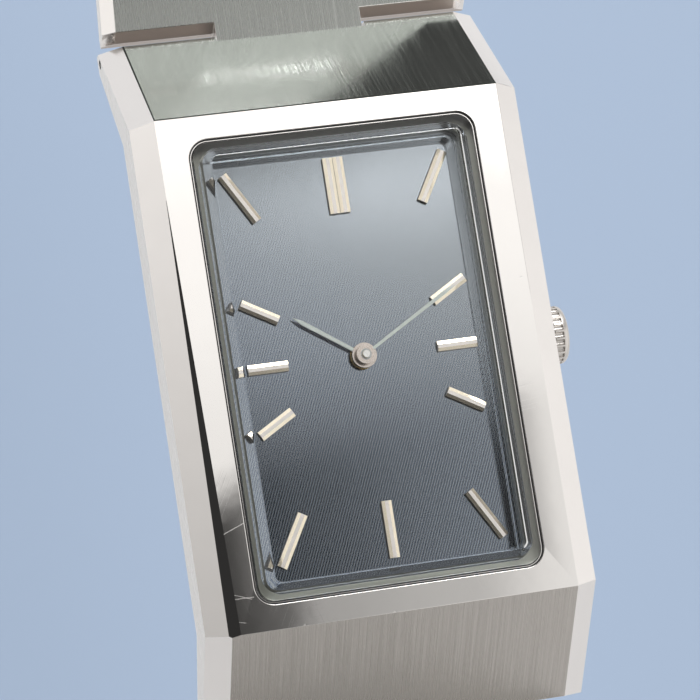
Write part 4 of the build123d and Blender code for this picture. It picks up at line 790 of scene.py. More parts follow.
class Finish(Enum):
    """Every finish of the watch."""

    POLISHED = Steel(
        "steel_polished", (0.92, 0.9, 0.88), roughness=0.02,
        tone=0.06, waves=0.4, depth=0.004, scratches=0.03, specks=0.05, marks=FRAME_MARKS,
    )
    SIDE_BEVEL = Steel(
        "steel_side_bevel", (0.87, 0.843, 0.825), roughness=0.15,
        tone=0.1, waves=0.6, depth=0.007, scratches=0.03, specks=0.05,
    )
    # Painted reflection: the upper lug slope's brushed steel is tinted green, standing in for its reflection
    # of the link tops.
    UPPER_SLOPE_REFLECTION = Steel(
        "steel_upper_slope_painted_reflection", (0.678, 0.712, 0.678), roughness=0.17, grain=Grain.BRUSHED_ALONG,
        across=17000.0, along=150.0, depth=0.0035, tone=0.4, scratches=0.02, specks=0.05,
    )
    LOWER_SLOPE = Steel(
        "steel_lower_slope", (0.55, 0.52, 0.49), roughness=0.24, grain=Grain.BRUSHED_ALONG,
        across=17000.0, along=120.0, depth=0.0028, tone=0.26, scratches=0.02, specks=0.05,
    )
    BRUSHED = Steel(
        "steel_brushed", (0.43, 0.445, 0.425), roughness=0.24, grain=Grain.BRUSHED_ALONG,
        across=17000.0, along=120.0, depth=0.0028, tone=0.28, scratches=0.02, specks=0.05,
    )
    SATIN = Steel(
        "steel_satin_wall", (0.88, 0.87, 0.86), roughness=0.26, grain=Grain.SATIN_WALL,
        across=12000.0, along=200.0, depth=0.0025, tone=0.16, scratches=0.05, specks=0.05,
    )
    # Painted shade: the links' end faces take a darker, browner steel that stands in for the shade they lie
    # in; its mottling is random tone.
    HEEL_SHADE = Steel(
        "steel_heel_painted_shade", (0.56, 0.5, 0.46), roughness=0.42,
        tone=0.45, waves=0.6, depth=0.02, specks=0.08,
    )
    EDGE = Steel("steel_edge", (0.86, 0.84, 0.82), roughness=0.08, tone=0.1, waves=0.3, depth=0.004)
    FACET = Steel(
        "steel_honed_facet", (0.86, 0.84, 0.83), roughness=0.02,
        tone=0.08, waves=0.3, depth=0.004, scratches=0.08, specks=0.08, rub=0.0,
    )
    # Painted shade: a near-black strip on the convex rounding along the upper slope's border, standing in
    # for the shade in a groove.
    GROOVE_SHADE = Steel(
        "steel_painted_groove_shade", (0.04, 0.045, 0.04), roughness=0.5,
        tone=0.3, waves=0.3, depth=0.003, rub=0.1,
    )
    SEAT = Steel("steel_seat", (0.8, 0.79, 0.74), roughness=0.4, tone=0.15, waves=0.3, depth=0.004)
    INSIDE = Steel("steel_inside", (0.5, 0.5, 0.5), roughness=0.32, tone=0.2, waves=0.3, depth=0.005)
    # Painted highlight: a bright metallic strip on the crystal's rounded rim, on the right side and along
    # the top only, stands in for the glint of light along the glass edge; its specks and rubbing are real
    # wear.
    RIM = Steel(
        "crystal_rim_painted_glint", (0.86, 0.87, 0.87), roughness=0.1,
        tone=0.5, waves=0.8, depth=0.01, specks=0.1, rub=0.2,
    )
    BATON_RIDGE = Steel(
        "baton_ridge", (0.95, 0.85, 0.81), roughness=0.18,
        metallic=0.35, tone=0.06, waves=0.2, depth=0.002, rub=0.0,
    )
    BATON_FLANK = Steel(
        "baton_flank", (0.96, 0.82, 0.67), roughness=0.14,
        metallic=0.9, tone=0.04, waves=0.2, depth=0.002, rub=0.0,
    )
    # Painted shade: the batons' upright walls and ends take this darker steel, standing in for the shade on
    # them.
    BATON_END_SHADE = Steel(
        "baton_end_painted_shade", (0.5, 0.46, 0.42), roughness=0.3,
        tone=0.1, waves=0.2, depth=0.002, rub=0.0,
    )
    BOSS = Steel(
        "hand_boss", (0.74, 0.65, 0.6), roughness=0.2,
        tone=0.1, waves=0.2, depth=0.002, rub=0.0,
    )
    ARBOR = Steel(
        "arbor_steel", (0.88, 0.86, 0.84), roughness=0.16,
        tone=0.1, waves=0.2, depth=0.002, rub=0.0,
    )
    CROWN = Steel(
        "crown_steel", (0.72, 0.69, 0.66), roughness=0.3,
        tone=0.2, waves=0.5, depth=0.006, specks=0.05,
    )
    NICKEL = Steel(
        "movement_nickel", (0.74, 0.7, 0.63), roughness=0.27, grain=Grain.BRUSHED_ALONG,
        across=3500.0, along=300.0, depth=0.004, tone=0.3,
    )
    BRASS = Steel("wheel_brass", (0.78, 0.6, 0.28), roughness=0.24, tone=0.2, waves=0.4, depth=0.004)
    BLUED = Steel("spring_blue", (0.12, 0.16, 0.42), roughness=0.2, tone=0.2, waves=0.3, depth=0.002)
    SCREW = Steel("screw_steel", (0.7, 0.69, 0.68), roughness=0.18, tone=0.15, waves=0.3, depth=0.003)
    HAND = Coating(
        "hand_enamel", (0.68, 0.72, 0.69), roughness=0.36,
        metallic=0.35, scale=5000.0, tone=0.1, depth=0.001,
    )
    GASKET = Coating("gasket_rubber", (0.035, 0.035, 0.035), roughness=0.5)
    LACQUER = RibbedLacquer()
    GLASS = CrystalGlass()
    GLASS_BEVEL = CrystalGlass("crystal_bevel_glass", (0.96, 0.985, 0.975), roughness=0.07, shine=1.0)


class Zone(Enum):
    """A piece's surfaces with their finishes, in the order of its materials."""

    @property
    def index(self) -> int:
        """The zone's material index."""
        return list(type(self)).index(self)


class CaseZone(Zone):
    """Surfaces of the case."""

    FRAME = Finish.POLISHED
    BEVEL = Finish.SIDE_BEVEL
    UPPER_SLOPE_REFLECTION = Finish.UPPER_SLOPE_REFLECTION
    WALL = Finish.SATIN
    ROUNDING = Finish.EDGE
    INSIDE = Finish.INSIDE
    GROOVE_SHADE = Finish.GROOVE_SHADE
    SEAT = Finish.SEAT
    LOWER_SLOPE = Finish.LOWER_SLOPE
    FACET = Finish.FACET


class LensZone(Zone):
    """Surfaces of the crystal."""

    CLEAR = Finish.GLASS
    BEVEL = Finish.GLASS_BEVEL
    PAINTED_GLINT = Finish.RIM


class SealZone(Zone):
    """Surfaces of the crystal's seal."""

    RUBBER = Finish.GASKET
    BAND = Finish.EDGE


class BatonZone(Zone):
    """Surfaces of an applied baton."""

    RIDGE = Finish.BATON_RIDGE
    FLANK = Finish.BATON_FLANK
    END = Finish.BATON_END_SHADE


class HandZone(Zone):
    """Surfaces of a hand."""

    BLADE = Finish.HAND
    BOSS = Finish.BOSS


class WheelZone(Zone):
    """Surfaces of a wheel whose arbor shows."""

    WHEEL = Finish.BRASS
    ARBOR = Finish.ARBOR


class CrownZone(Zone):
    """The crown's one surface."""

    ALL = Finish.CROWN


class LinkZone(Zone):
    """Surfaces of a bracelet link."""

    TOP = Finish.BRUSHED
    BEVEL = Finish.SIDE_BEVEL
    SIDE = Finish.SATIN
    ROUNDING = Finish.EDGE
    HEEL_SHADE = Finish.HEEL_SHADE


class ClaspZone(Zone):
    """Surfaces of a clasp piece."""

    TOP = Finish.BRUSHED
    SIDE = Finish.SATIN
    ROUNDING = Finish.EDGE


ZoneRule = Callable[[Face], Zone]


# Pieces

# Their sizes are in millimetres and their angles in degrees; what says how a face leans, such as
# leaning, sloping, upright or level, is a share of its normal.


def corner_angle(edge: Edge) -> float:
    """The angle between an edge's two faces, in degrees."""
    return math.degrees(edge.calc_face_angle(0.0))


def any_edge(edge: Edge) -> bool:
    """A rule that picks every edge."""
    return True


def middle_of(face: Face) -> Vector:
    """A face's middle, in millimetres."""
    return face.calc_center_median() / MM


def from_axis(face: Face) -> float:
    """How far a face's middle is from the hands' axis, in millimetres."""
    return math.hypot(*middle_of(face).xy)


def zone_faces(faces: Iterable[Face], rule: ZoneRule) -> None:
    """Gives each face the material index of the zone that a rule names for it."""
    for face in faces:
        face.material_index = rule(face).index


def mark_faces(faces: Iterable[Face], zone: Zone) -> None:
    """Gives faces the material index of one zone."""
    for face in faces:
        face.material_index = zone.index


def round_edges(
    shape: Shape, rule: EdgeRule, width: float, segments: int = 3, sharp: float = 9.0
) -> list[Face]:
    """Rounds the sharp edges that a rule picks and marks their strips.

    Args:
        shape: The mesh.
        rule: Says which edges take part.
        width: The rounding's width, in millimetres.
        segments: Steps across it.
        sharp: The smallest corner angle that is rounded, in degrees.

    Returns:
        The new faces.
    """
    layers = shape.verts.layers.float
    layer = layers.get(EDGE_LAYER) or layers.new(EDGE_LAYER)
    chosen = [e for e in shape.edges if e.is_manifold and corner_angle(e) > sharp and rule(e)]
    made = bmesh.ops.bevel(
        shape,
        geom=chosen,
        offset=width * MM,
        offset_type="OFFSET",
        affect="EDGES",
        segments=segments,
        profile=0.5,
        clamp_overlap=True,
        loop_slide=False,
        material=-1,
    )
    strip = [face for face in made["faces"] if face.is_valid]
    rounded = set(strip)
    for face in strip:
        for vert in face.verts:
            if all(near in rounded for near in vert.link_faces):
                vert[layer] = 1.0
    shape.normal_update()
    return strip


def put_in_scene(shape: Shape, name: str, materials: Iterable[Material]) -> bpy.types.Object:
    """Turns a mesh into an object of the scene.

    Args:
        shape: The mesh, which is used up.
        name: The object's name.
        materials: Its materials, in order.

    Returns:
        The object.
    """
    mesh = bpy.data.meshes.new(name)
    shape.to_mesh(mesh)
    shape.free()
    for material in materials:
        mesh.materials.append(material)
    piece = bpy.data.objects.new(name, mesh)
    bpy.context.scene.collection.objects.link(piece)
    return piece


@dataclass
class Workshop:
    """What every sub-assembly needs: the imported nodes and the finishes."""

    nodes: dict[str, bpy.types.Object]
    effects: Effects
    made: dict[Finish, Material] = field(default_factory=dict)
    merge_distance: float = 0.0005
    flat_angle: float = 0.4
    normal_weight: int = 80

    def material(self, finish: Finish) -> Material:
        """A finish's material, made on first use.

        Args:
            finish: The finish.

        Returns:
            Its material.
        """
        if finish not in self.made:
            self.made[finish] = finish.value.make(self.effects)
        return self.made[finish]

    def copy(self, node: str) -> Shape:
        """A CAD node's shape as one joined mesh with whole flat faces.

        Args:
            node: The CAD node's name; its object is left alone.

        Returns:
            The copy.
        """
        shape = bmesh.new()
        shape.from_mesh(self.nodes[node].data)
        bmesh.ops.remove_doubles(shape, verts=shape.verts[:], dist=self.merge_distance * MM)
        bmesh.ops.dissolve_limit(
            shape,
            angle_limit=math.radians(self.flat_angle),
            use_dissolve_boundaries=False,
            verts=shape.verts[:],
            edges=shape.edges[:],
            delimit={"NORMAL"},
        )
        shape.normal_update()
        return shape

    def place(
        self,
        shape: Shape,
        name: str,
        zones: type[Zone],
        body: str,
        slot: Slot,
        replaced: Iterable[str],
        crisp: float = 34.0,
    ) -> bpy.types.Object:
        """Turns a mesh into a finished piece that rides on its body.

        Args:
            shape: The mesh, in metres in the row frame.
            name: The piece's name.
            zones: Its surfaces, in the order of the faces' material indices.
            body: The CAD body that it rides on.
            slot: The record's finish for it; not used.
            replaced: The CAD nodes that it stands for.
            crisp: The corner angle from which an edge shows as a line, in degrees.

        Returns:
            The piece.
        """
        for face in shape.faces:
            face.smooth = True
        for edge in shape.edges:
            edge.smooth = corner_angle(edge) < crisp and not edge.seam
        piece = put_in_scene(shape, name, [self.material(zone.value) for zone in zones])
        normals = piece.modifiers.new("even_shading", "WEIGHTED_NORMAL")
        normals.keep_sharp = True
        normals.weight = self.normal_weight
        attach(piece, body)
        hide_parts(*replaced)
        LOG.info("%s: %d faces", name, len(piece.data.polygons))
        return piece

    def dress(self, node: str, finish: Finish) -> None:
        """Gives a CAD node that stays a finish of its own.

        Args:
            node: The node's name.
            finish: Its finish.
        """
        for slot in self.nodes[node].material_slots:
            slot.material = self.material(finish)
        LOG.info("%s: %s", node, finish.name)


@dataclass
class Case:
    """Case middle with its frame, side bevels, lugs and walls."""

    shop: Workshop
    frame_half_x: float = 12.5
    frame_half_y: float = 18.25
    frame_top: float = 10.4
    case_half_x: float = 14.17
    opening_half_x: float = 10.45
    opening_half_y: float = 16.5
    seat_bottom: float = 8.4
    wall_top: float = 6.0
    lug_foot: float = 2.0
    near: float = 0.02
    margin: float = 0.1
    mouth_margin: float = 0.05
    inside_margin: float = 0.06
    slope_overlap: float = 0.5
    wall_margin: float = 0.2
    leaning: float = 0.3
    sloping: float = 0.4
    level: float = 0.95
    rounding: float = 0.11
    rounding_steps: int = 4
    chamfer: float = 0.07
    groove_shade_width: float = 0.07
    small_steps: int = 2
    facet_lean: float = 10.0
    facet_top_y: float = 12.5
    facet_taper: float = 0.0036

    def _border(self, edge: Edge) -> bool:
        """Picks the border of the upper slope.

        Args:
            edge: An edge of the case.

        Returns:
            Whether it bounds the slope at the frame or at its left bevel.
        """
        ends = [v.co / MM for v in edge.verts]
        at_frame = all(
            abs(v.y - self.frame_half_y) < self.near and abs(v.z - self.frame_top) < self.near for v in ends
        )
        at_left = all(
            v.y > self.frame_half_y - self.near and abs(v.x + self.frame_half_x) < self.near for v in ends
        )
        return (at_frame or at_left) and min(v.z for v in ends) > self.lug_foot

    def _outer(self, edge: Edge) -> bool:
        """Picks the outside of the case.

        Args:
            edge: An edge of the case.

        Returns:
            Whether it is on the outside, above the lugs' feet and not at the painted groove shade or the
            facet.
        """
        middle = sum((v.co for v in edge.verts), Vector()) / 2 / MM
        beside = abs(middle.x) > self.frame_half_x - self.margin
        beyond = abs(middle.y) > self.frame_half_y - self.margin
        kept = (CaseZone.GROOVE_SHADE.index, CaseZone.FACET.index)
        plain_side = all(face.material_index not in kept for face in edge.link_faces)
        lowest = self.lug_foot - self.margin
        high = middle.z > self.lug_foot and all(v.co.z / MM > lowest for v in edge.verts)
        return (beside or beyond) and plain_side and high

    def _mouth(self, edge: Edge) -> bool:
        """Picks the mouth of the crystal's opening.

        Args:
            edge: An edge of the case.

        Returns:
            Whether it is on the opening's rim.
        """
        return all(
            abs(v.co.z / MM - self.frame_top) < self.near
            and abs(v.co.x / MM) < self.opening_half_x + self.mouth_margin
            and abs(v.co.y / MM) < self.opening_half_y + self.mouth_margin
            for v in edge.verts
        )

    def _surface(self, face: Face) -> CaseZone:
        """Tells the case's surfaces apart by where they are and how they lean.

        Args:
            face: A face of the case.

        Returns:
            Its zone.
        """
        normal = face.normal
        middle = middle_of(face)
        inside_x = abs(middle.x) < self.opening_half_x + self.inside_margin
        inside_y = abs(middle.y) < self.opening_half_y + self.inside_margin
        if inside_x and inside_y and middle.z < self.frame_top - self.inside_margin:
            return CaseZone.SEAT if middle.z > self.seat_bottom else CaseZone.INSIDE
        if abs(normal.x) > self.leaning and normal.z > self.leaning:
            return CaseZone.BEVEL
        past_frame = abs(middle.y) > self.frame_half_y - self.slope_overlap
        if abs(normal.y) > self.sloping and normal.z > self.leaning and past_frame:
            # The upper slope takes the green-tinted steel, a painted reflection.
            return CaseZone.UPPER_SLOPE_REFLECTION if middle.y > 0.0 else CaseZone.LOWER_SLOPE
        if normal.z > self.level and middle.z > self.frame_top - self.margin:
            return CaseZone.FRAME
        if abs(middle.x) > self.case_half_x - self.wall_margin:
            return CaseZone.WALL
        return CaseZone.WALL if middle.z < self.wall_top else CaseZone.INSIDE

    def _hone(self, shape: Shape) -> None:
        """Cuts the narrow facet that widens down the left edge of the frame.

        Args:
            shape: The case's mesh, before its edges are rounded.
        """
        lean = math.radians(self.facet_lean)
        cut = bmesh.ops.bisect_plane(
            shape,
            geom=shape.verts[:] + shape.edges[:] + shape.faces[:],
            plane_co=Vector((-self.frame_half_x, self.facet_top_y, self.frame_top)) * MM,
            plane_no=Vector((-math.sin(lean), -self.facet_taper, math.cos(lean))),
            clear_outer=True,
        )
        rim = [item for item in cut["geom_cut"] if isinstance(item, Edge)]
        for edge in rim:
            edge.seam = True
        facet = bmesh.ops.contextual_create(shape, geom=rim)["faces"]
        mark_faces(facet, CaseZone.FACET)
        shape.normal_update()
        LOG.info("frame facet: %d faces", len(facet))

    def build(self) -> None:
        """Builds the case over its CAD solid."""
        shape = self.shop.copy("case_body")
        zone_faces(shape.faces, self._surface)
        self._hone(shape)
        for zone, rule, width, steps in (
            # The upper slope's border strip is painted near-black, as painted groove shade.
            (CaseZone.GROOVE_SHADE, self._border, self.groove_shade_width, self.small_steps),
            (CaseZone.ROUNDING, self._outer, self.rounding, self.rounding_steps),
            (CaseZone.ROUNDING, self._mouth, self.chamfer, self.small_steps),
        ):
            mark_faces(round_edges(shape, rule, width, steps), zone)
        self.shop.place(shape, "case_shell", CaseZone, Body.CASE.value, Slot.CASE_STEEL, ("case_body",))


@dataclass
class Crystal:
    """Bevelled crystal and the gasket round it."""

    shop: Workshop
    top: float = 11.3
    bevel_drop: float = 0.75
    near: float = 0.02
    top_rounding: float = 0.2
    top_steps: int = 6
    side_rounding: float = 0.06
    side_steps: int = 2
    sharp: float = 14.0
    leaning: float = 0.3
    level: float = 0.95
    # The angle band and the sides of the rounded rim that carry the painted glint.
    rim_from: float = 8.0
    rim_to: float = 24.0
    rim_to_upper: float = 12.0
    glint_x: float = 8.8
    glint_y: float = 14.9
    lid_level: float = 0.9
    lid_depth: float = 0.01
    band_inset: float = 0.08

    def _rim(self, edge: Edge) -> bool:
        """Whether an edge bounds the flat top."""
        return all(v.co.z / MM > self.top - self.near for v in edge.verts)

    def _shoulder(self, edge: Edge) -> bool:
        """Whether an edge is where the bevel meets the side."""
        return all(abs(v.co.z / MM - self.top + self.bevel_drop) < self.near for v in edge.verts)

    def _surface(self, face: Face) -> LensZone:
        """The zone of a face before the edges are rounded."""
        return LensZone.BEVEL if self.leaning < face.normal.z < self.level else LensZone.CLEAR

    def _glint_zone(self, face: Face) -> LensZone:
        """Tells the stretches of the rounded rim that carry the painted glint, on the right side and along
        the top, from the clear ones.

        Args:
            face: A face of the rim.

        Returns:
            Its zone.
        """
        steep = math.degrees(face.normal.angle(Vector((0.0, 0.0, 1.0))))
        middle = middle_of(face)
        if middle.x > self.glint_x:
            wear_and_glint = self.rim_from < steep < self.rim_to
        else:
            wear_and_glint = middle.y > self.glint_y and self.rim_from < steep < self.rim_to_upper
        return LensZone.PAINTED_GLINT if wear_and_glint else LensZone.CLEAR

    def build(self) -> None:
        """Builds the crystal and its seal."""
        shape = self.shop.copy("crystal")
        zone_faces(shape.faces, self._surface)
        strip = round_edges(shape, self._rim, self.top_rounding, self.top_steps, self.sharp)
        # The rim's right side and top take the metallic strip, a painted glint.
        zone_faces(strip, self._glint_zone)
        round_edges(shape, self._shoulder, self.side_rounding, self.side_steps, self.sharp)
        self.shop.place(shape, "crystal_lens", LensZone, Body.CASE.value, Slot.CRYSTAL, ("crystal",))
        self._seal()

    def _seal(self) -> None:
        """Builds the seal round the crystal, with a bright band let into its top."""
        node = "crystal_gasket"
        shape = self.shop.copy(node)
        top = max(v.co.z for v in shape.verts)
        lowest = top - self.lid_depth * MM
        lid = [
            face
            for face in shape.faces
            if face.normal.z > self.lid_level and face.calc_center_median().z > lowest
        ]
        bmesh.ops.inset_region(shape, faces=lid, thickness=self.band_inset * MM, use_even_offset=True)
        mark_faces(lid, SealZone.BAND)
        self.shop.place(shape, "crystal_seal", SealZone, Body.CASE.value, Slot.GASKET, (node,))


@dataclass
class Dial:
    """Ribbed dial with its applied batons."""

    shop: Workshop
    crisp: float = 9.0
    wall_line: float = 8.7
    wall_lift: float = 0.09
    near: float = 0.01
    level: float = 0.98
    leaning: float = 0.3

    def _surface(self, face: Face) -> BatonZone:
        """Tells a baton's surfaces apart by how they lean; the upright walls and ends get a darker steel, as
        painted shade.

        Args:
            face: A face of a baton.

        Returns:
            Its zone.
        """
        if face.normal.z > self.level:
            return BatonZone.RIDGE
        # Walls and ends take the darker steel, as painted shade.
        return BatonZone.FLANK if face.normal.z > self.leaning else BatonZone.END

    def build(self) -> None:
        """Dresses the dial and builds the batons."""
        self.shop.dress("dial", Finish.LACQUER)
        node = "hour_markers"
        shape = self.shop.copy(node)
        line = [vert for vert in shape.verts if abs(vert.co.z / MM - self.wall_line) < self.near]
        bmesh.ops.translate(shape, verts=line, vec=(0.0, 0.0, self.wall_lift * MM))
        shape.normal_update()
        LOG.info("baton wall line: %d vertices", len(line))
        zone_faces(shape.faces, self._surface)
        self.shop.place(shape, "batons", BatonZone, Body.CASE.value, Slot.APPLIED, (node,), self.crisp)


@dataclass
class Hands:
    """Hour and minute hands on their stacked bosses."""

    shop: Workshop
    crisp: float = 24.0
    boss_reach: float = 0.93
    post_reach: float = 0.3
    seen_from: float = 8.6

    def _hand(self, node: str, body: Body) -> None:
        """Builds one hand, whose boss is turned metal.

        Args:
            node: The hand's CAD node.
            body: The body that it turns with.
        """
        shape = self.shop.copy(node)
        boss = [face for face in shape.faces if from_axis(face) < self.boss_reach]
        mark_faces(boss, HandZone.BOSS)
        self.shop.place(shape, f"{node}_blade", HandZone, body.value, Slot.HANDS, (node,), self.crisp)

    def _wheel(self, node: str, body: Body, reach: float) -> None:
        """Builds a wheel whose arbor comes up through the dial.

        Args:
            node: The wheel's CAD node.
            body: The body that it turns with.
            reach: The arbor's radius where it shows, in millimetres.
        """
        shape = self.shop.copy(node)
        arbor = [
            face for face in shape.faces if from_axis(face) < reach and middle_of(face).z > self.seen_from
        ]
        mark_faces(arbor, WheelZone.ARBOR)
        self.shop.place(shape, f"{node}_turned", WheelZone, body.value, Slot.MOVEMENT, (node,))

    def build(self) -> None:
        """Builds both hands and what they sit on."""
        self._hand("hour_hand", Body.HOUR)
        self._hand("minute_hand", Body.MINUTE)
        self.shop.dress("cannon_pinion", Finish.INSIDE)
        self._wheel("centre_wheel", Body.MINUTE, self.post_reach)
        self._wheel("hour_wheel", Body.HOUR, self.boss_reach)


@dataclass
class Crown:
    """Fluted crown."""

    shop: Workshop

    def build(self) -> None:
        """Builds the crown from its CAD shape."""
        shape = self.shop.copy("crown")
        self.shop.place(shape, "crown_cap", CrownZone, Body.CROWN.value, Slot.CROWN_STEEL, ("crown",))


def link_names(form: str) -> Iterator[str]:
    """Names made for every link, from the case outward in each half.

    Args:
        form: The name's form, with places for the half and the number.

    Yields:
        Each name.
    """
    for half in ("upper", "lower"):
        for number in range(1, LINKS_PER_HALF + 1):
            yield form.format(half=half, number=number)


@dataclass
class Bracelet:
    """The links of both halves, brushed on top with polished side bevels."""

    shop: Workshop
    rounding: float = 0.08
    steps: int = 3
    sharp: float = 20.0
    level: float = 0.98
    leaning: float = 0.3
    upright: float = 0.9
    end_on: float = 0.5

    def _surface(self, face: Face) -> LinkZone:
        """Tells a link's surfaces apart by how they lean.

        Args:
            face: A face of a link.

        Returns:
            Its zone.
        """
        normal = face.normal
        if normal.z > self.level:
            return LinkZone.TOP
        if abs(normal.x) > self.leaning and normal.z > self.leaning:
            return LinkZone.BEVEL
        if abs(normal.x) > self.upright:
            return LinkZone.SIDE
        # End faces take the darker heel steel, as painted shade.
        return LinkZone.HEEL_SHADE if abs(normal.y) > self.end_on else LinkZone.SIDE

    def build(self) -> None:
        """Builds each link over its CAD solid."""
        for node in link_names("{half}_link_{number}"):
            shape = self.shop.copy(node)
            zone_faces(shape.faces, self._surface)
            strip = round_edges(shape, any_edge, self.rounding, self.steps, self.sharp)
            mark_faces(strip, LinkZone.ROUNDING)
            self.shop.place(shape, f"{node}_plate", LinkZone, node, Slot.BRACELET_STEEL, (node,))


@dataclass
class Clasp:
    """Clasp tray, cover and the bar that it hooks on."""

    shop: Workshop
    rounding: float = 0.1
    steps: int = 2
    sharp: float = 40.0
    level: float = 0.98

    def _surface(self, face: Face) -> ClaspZone:
        """The zone of a clasp piece's face."""
        return ClaspZone.TOP if face.normal.z > self.level else ClaspZone.SIDE

    def _piece(self, node: str, body: Body) -> None:
        """Builds one clasp piece over its CAD solid.

        Args:
            node: The piece's CAD node.
            body: The body that it rides on.
        """
        shape = self.shop.copy(node)
        zone_faces(shape.faces, self._surface)
        strip = round_edges(shape, any_edge, self.rounding, self.steps, self.sharp)
        mark_faces(strip, ClaspZone.ROUNDING)
        self.shop.place(shape, f"{node}_steel", ClaspZone, body.value, Slot.BRACELET_STEEL, (node,))

    def build(self) -> None:
        """Builds the three clasp pieces."""
        self._piece("clasp_base", Body.CLASP)
        self._piece("clasp_cover", Body.CLASP_COVER)
        self._piece("clasp_bar", Body.CLASP_BAR)


@dataclass
class Movement:
    """What the case holds, and the small pieces that keep their CAD shape."""

    shop: Workshop
    bridges: tuple[str, ...] = (
        "main_plate", "train_bridge", "pallet_bridge", "balance_cock", "automatic_bridge"
    )
    wheels: tuple[str, ...] = (
        "third_wheel", "fourth_wheel", "barrel", "barrel_cover", "minute_wheel", "balance_wheel"
    )
    turned: tuple[str, ...] = (
        "barrel_arbor", "escape_wheel", "pallet_fork", "rotor_axle", "winding_stem", "setting_lever",
        "crown_tube",
    )
    springs: tuple[str, ...] = ("mainspring", "hairspring")
    screws: tuple[str, ...] = ("bridge_screws", "casing_screws", "casing_clamps", "back_screws")
    bare: tuple[str, ...] = ("movement_ring", "rotor")
    pins: tuple[str, ...] = ("lug_pins", "clasp_pin")

    def build(self) -> None:
        """Dresses each node."""
        for finish, nodes in (
            (Finish.NICKEL, self.bridges),
            (Finish.BRASS, self.wheels),
            (Finish.ARBOR, self.turned),
            (Finish.BLUED, self.springs),
            (Finish.SCREW, self.screws),
            (Finish.INSIDE, self.bare),
            (Finish.GASKET, ("back_gasket",)),
            (Finish.SATIN, ("case_back",)),
            (Finish.EDGE, (*self.pins, *link_names("{half}_link_pin_{number}"))),
        ):
            for node in nodes:
                self.shop.dress(node, finish)


# Studio


@dataclass(frozen=True)
class Room:
    """The studio round the watch, as brightness by direction.

    Places and spans are shares of a direction's X, Y or Z, from -1 to 1. To the left is a wall
    that is pale at the back and darkens toward the front. Elsewhere the front is dark and turns
    pale to the right, and the bright back wall with its window is seen past it.
    """

    tone: Colour = (1.0, 0.985, 0.965)
    backdrop: Colour = (0.43, 0.51, 0.68)
    side_levels: Levels = ((-0.4, 1.0), (-0.28, 0.0))
    front_levels: Levels = (
        (0.168, 0.03),
        (0.178, 0.06),
        (0.19, 0.11),
        (0.202, 0.36),
        (0.245, 0.46),
        (0.275, 0.76),
        (0.33, 0.95),
    )
    back_levels: Levels = (
        (0.1, 0.84),
        (0.165, 1.0),
        (0.22, 1.1),
        (0.236, 0.16),
        (0.5, 0.45),
        (0.62, 1.0),
    )
    back_lean: float = -0.17
    back_corner: float = 0.18
    back_opens_y: Span = (0.083, 0.1)
    back_opens_x: Span = (0.135, 0.165)
    window_peak: float = 1.5
    window_least: float = 0.1
    window_rise_x: Span = (0.185, 0.25)
    window_fall_x: Span = (0.265, 0.28)
    window_rise_y: Span = (0.165, 0.222)
    window_fall_y: Span = (0.222, 0.236)
    doorway_rise_x: Span = (-0.1, -0.07)
    doorway_fall_x: Span = (0.1, 0.13)
    doorway_opens_y: Span = (0.05, 0.11)
    end_wall_y: Span = (0.3, 0.5)
    left_rise: float = 3.1
    left_middle: float = 0.34
    left_least: float = 0.04
    left_most: float = 0.98
    upward_z: Span = (0.4, 0.7)
    horizon: float = 0.5

    @staticmethod
    def _ramp(graph: Graph, value: Socket, levels: Levels) -> Socket:
        """Brightness along one axis of the room.

        Args:
            graph: The world's graph.
            value: The direction's share along the axis.
            levels: Places along the axis, with the brightness at each.

        Returns:
            The brightness.
        """
        total: Value = levels[0][1]
        for (start, low), (end, high) in zip(levels, levels[1:]):
            total = graph.math("ADD", graph.smooth(value, (start, end), 0.0, high - low), total)
        return total

    def _back(self, graph: Graph, x: Socket, y: Socket) -> Socket:
        """Brightness of the back wall with its window.

        Args:
            graph: The world's graph.
            x: The direction's share to the right.
            y: The direction's share to the back.

        Returns:
            The brightness.
        """
        high = graph.opening(y, self.window_rise_y, self.window_fall_y)
        wide = graph.opening(x, self.window_rise_x, self.window_fall_x, self.window_least)
        window = graph.times(graph.times(high, wide), self.window_peak)
        return graph.math("ADD", self._ramp(graph, y, self.back_levels), window)

    def _open_back(self, graph: Graph, x: Socket, y: Socket) -> Socket:
        """Where the back wall is seen past the dark front.

        Args:
            graph: The world's graph.
            x: The direction's share to the right.
            y: The direction's share to the back.

        Returns:
            One where it is seen.
        """
        slanted = graph.math("MULTIPLY_ADD", graph.math("SUBTRACT", x, self.back_corner), self.back_lean, y)
        corner = graph.times(graph.smooth(slanted, self.back_opens_y), graph.smooth(x, self.back_opens_x))
        between = graph.opening(x, self.doorway_rise_x, self.doorway_fall_x)
        doorway = graph.times(graph.smooth(y, self.doorway_opens_y), between)
        end_wall = graph.smooth(y, self.end_wall_y)
        return graph.math("MAXIMUM", graph.math("MAXIMUM", corner, doorway), end_wall)

    def _left(self, graph: Graph, y: Socket) -> Socket:
        """Brightness of the left wall along a direction's share to the back."""
        slope = graph.math("MULTIPLY_ADD", y, self.left_rise, self.left_middle)
        return graph.math("MINIMUM", graph.math("MAXIMUM", slope, self.left_least), self.left_most)

    def build(self) -> None:
        """Makes the world."""
        world = bpy.data.worlds.new("studio_room")
        bpy.context.scene.world = world
        world.use_nodes = True
        graph = Graph(world.node_tree)
        x, y, z = graph.split(graph.add("ShaderNodeTexCoord").outputs["Generated"])
        front = self._ramp(graph, x, self.front_levels)
        right = graph.blend(self._open_back(graph, x, y), front, self._back(graph, x, y))
        level = graph.blend(self._ramp(graph, x, self.side_levels), right, self._left(graph, y))
        low = graph.math("MAXIMUM", level, self.horizon)
        level = graph.blend(graph.smooth(z, self.upward_z), low, level)
        sight = graph.add("ShaderNodeLightPath").outputs["Is Camera Ray"]
        shown = graph.mix(sight, graph.scale(self.tone, level), self.backdrop)
        graph.fill(world.node_tree.nodes["Background"], Color=shown, Strength=1.0)


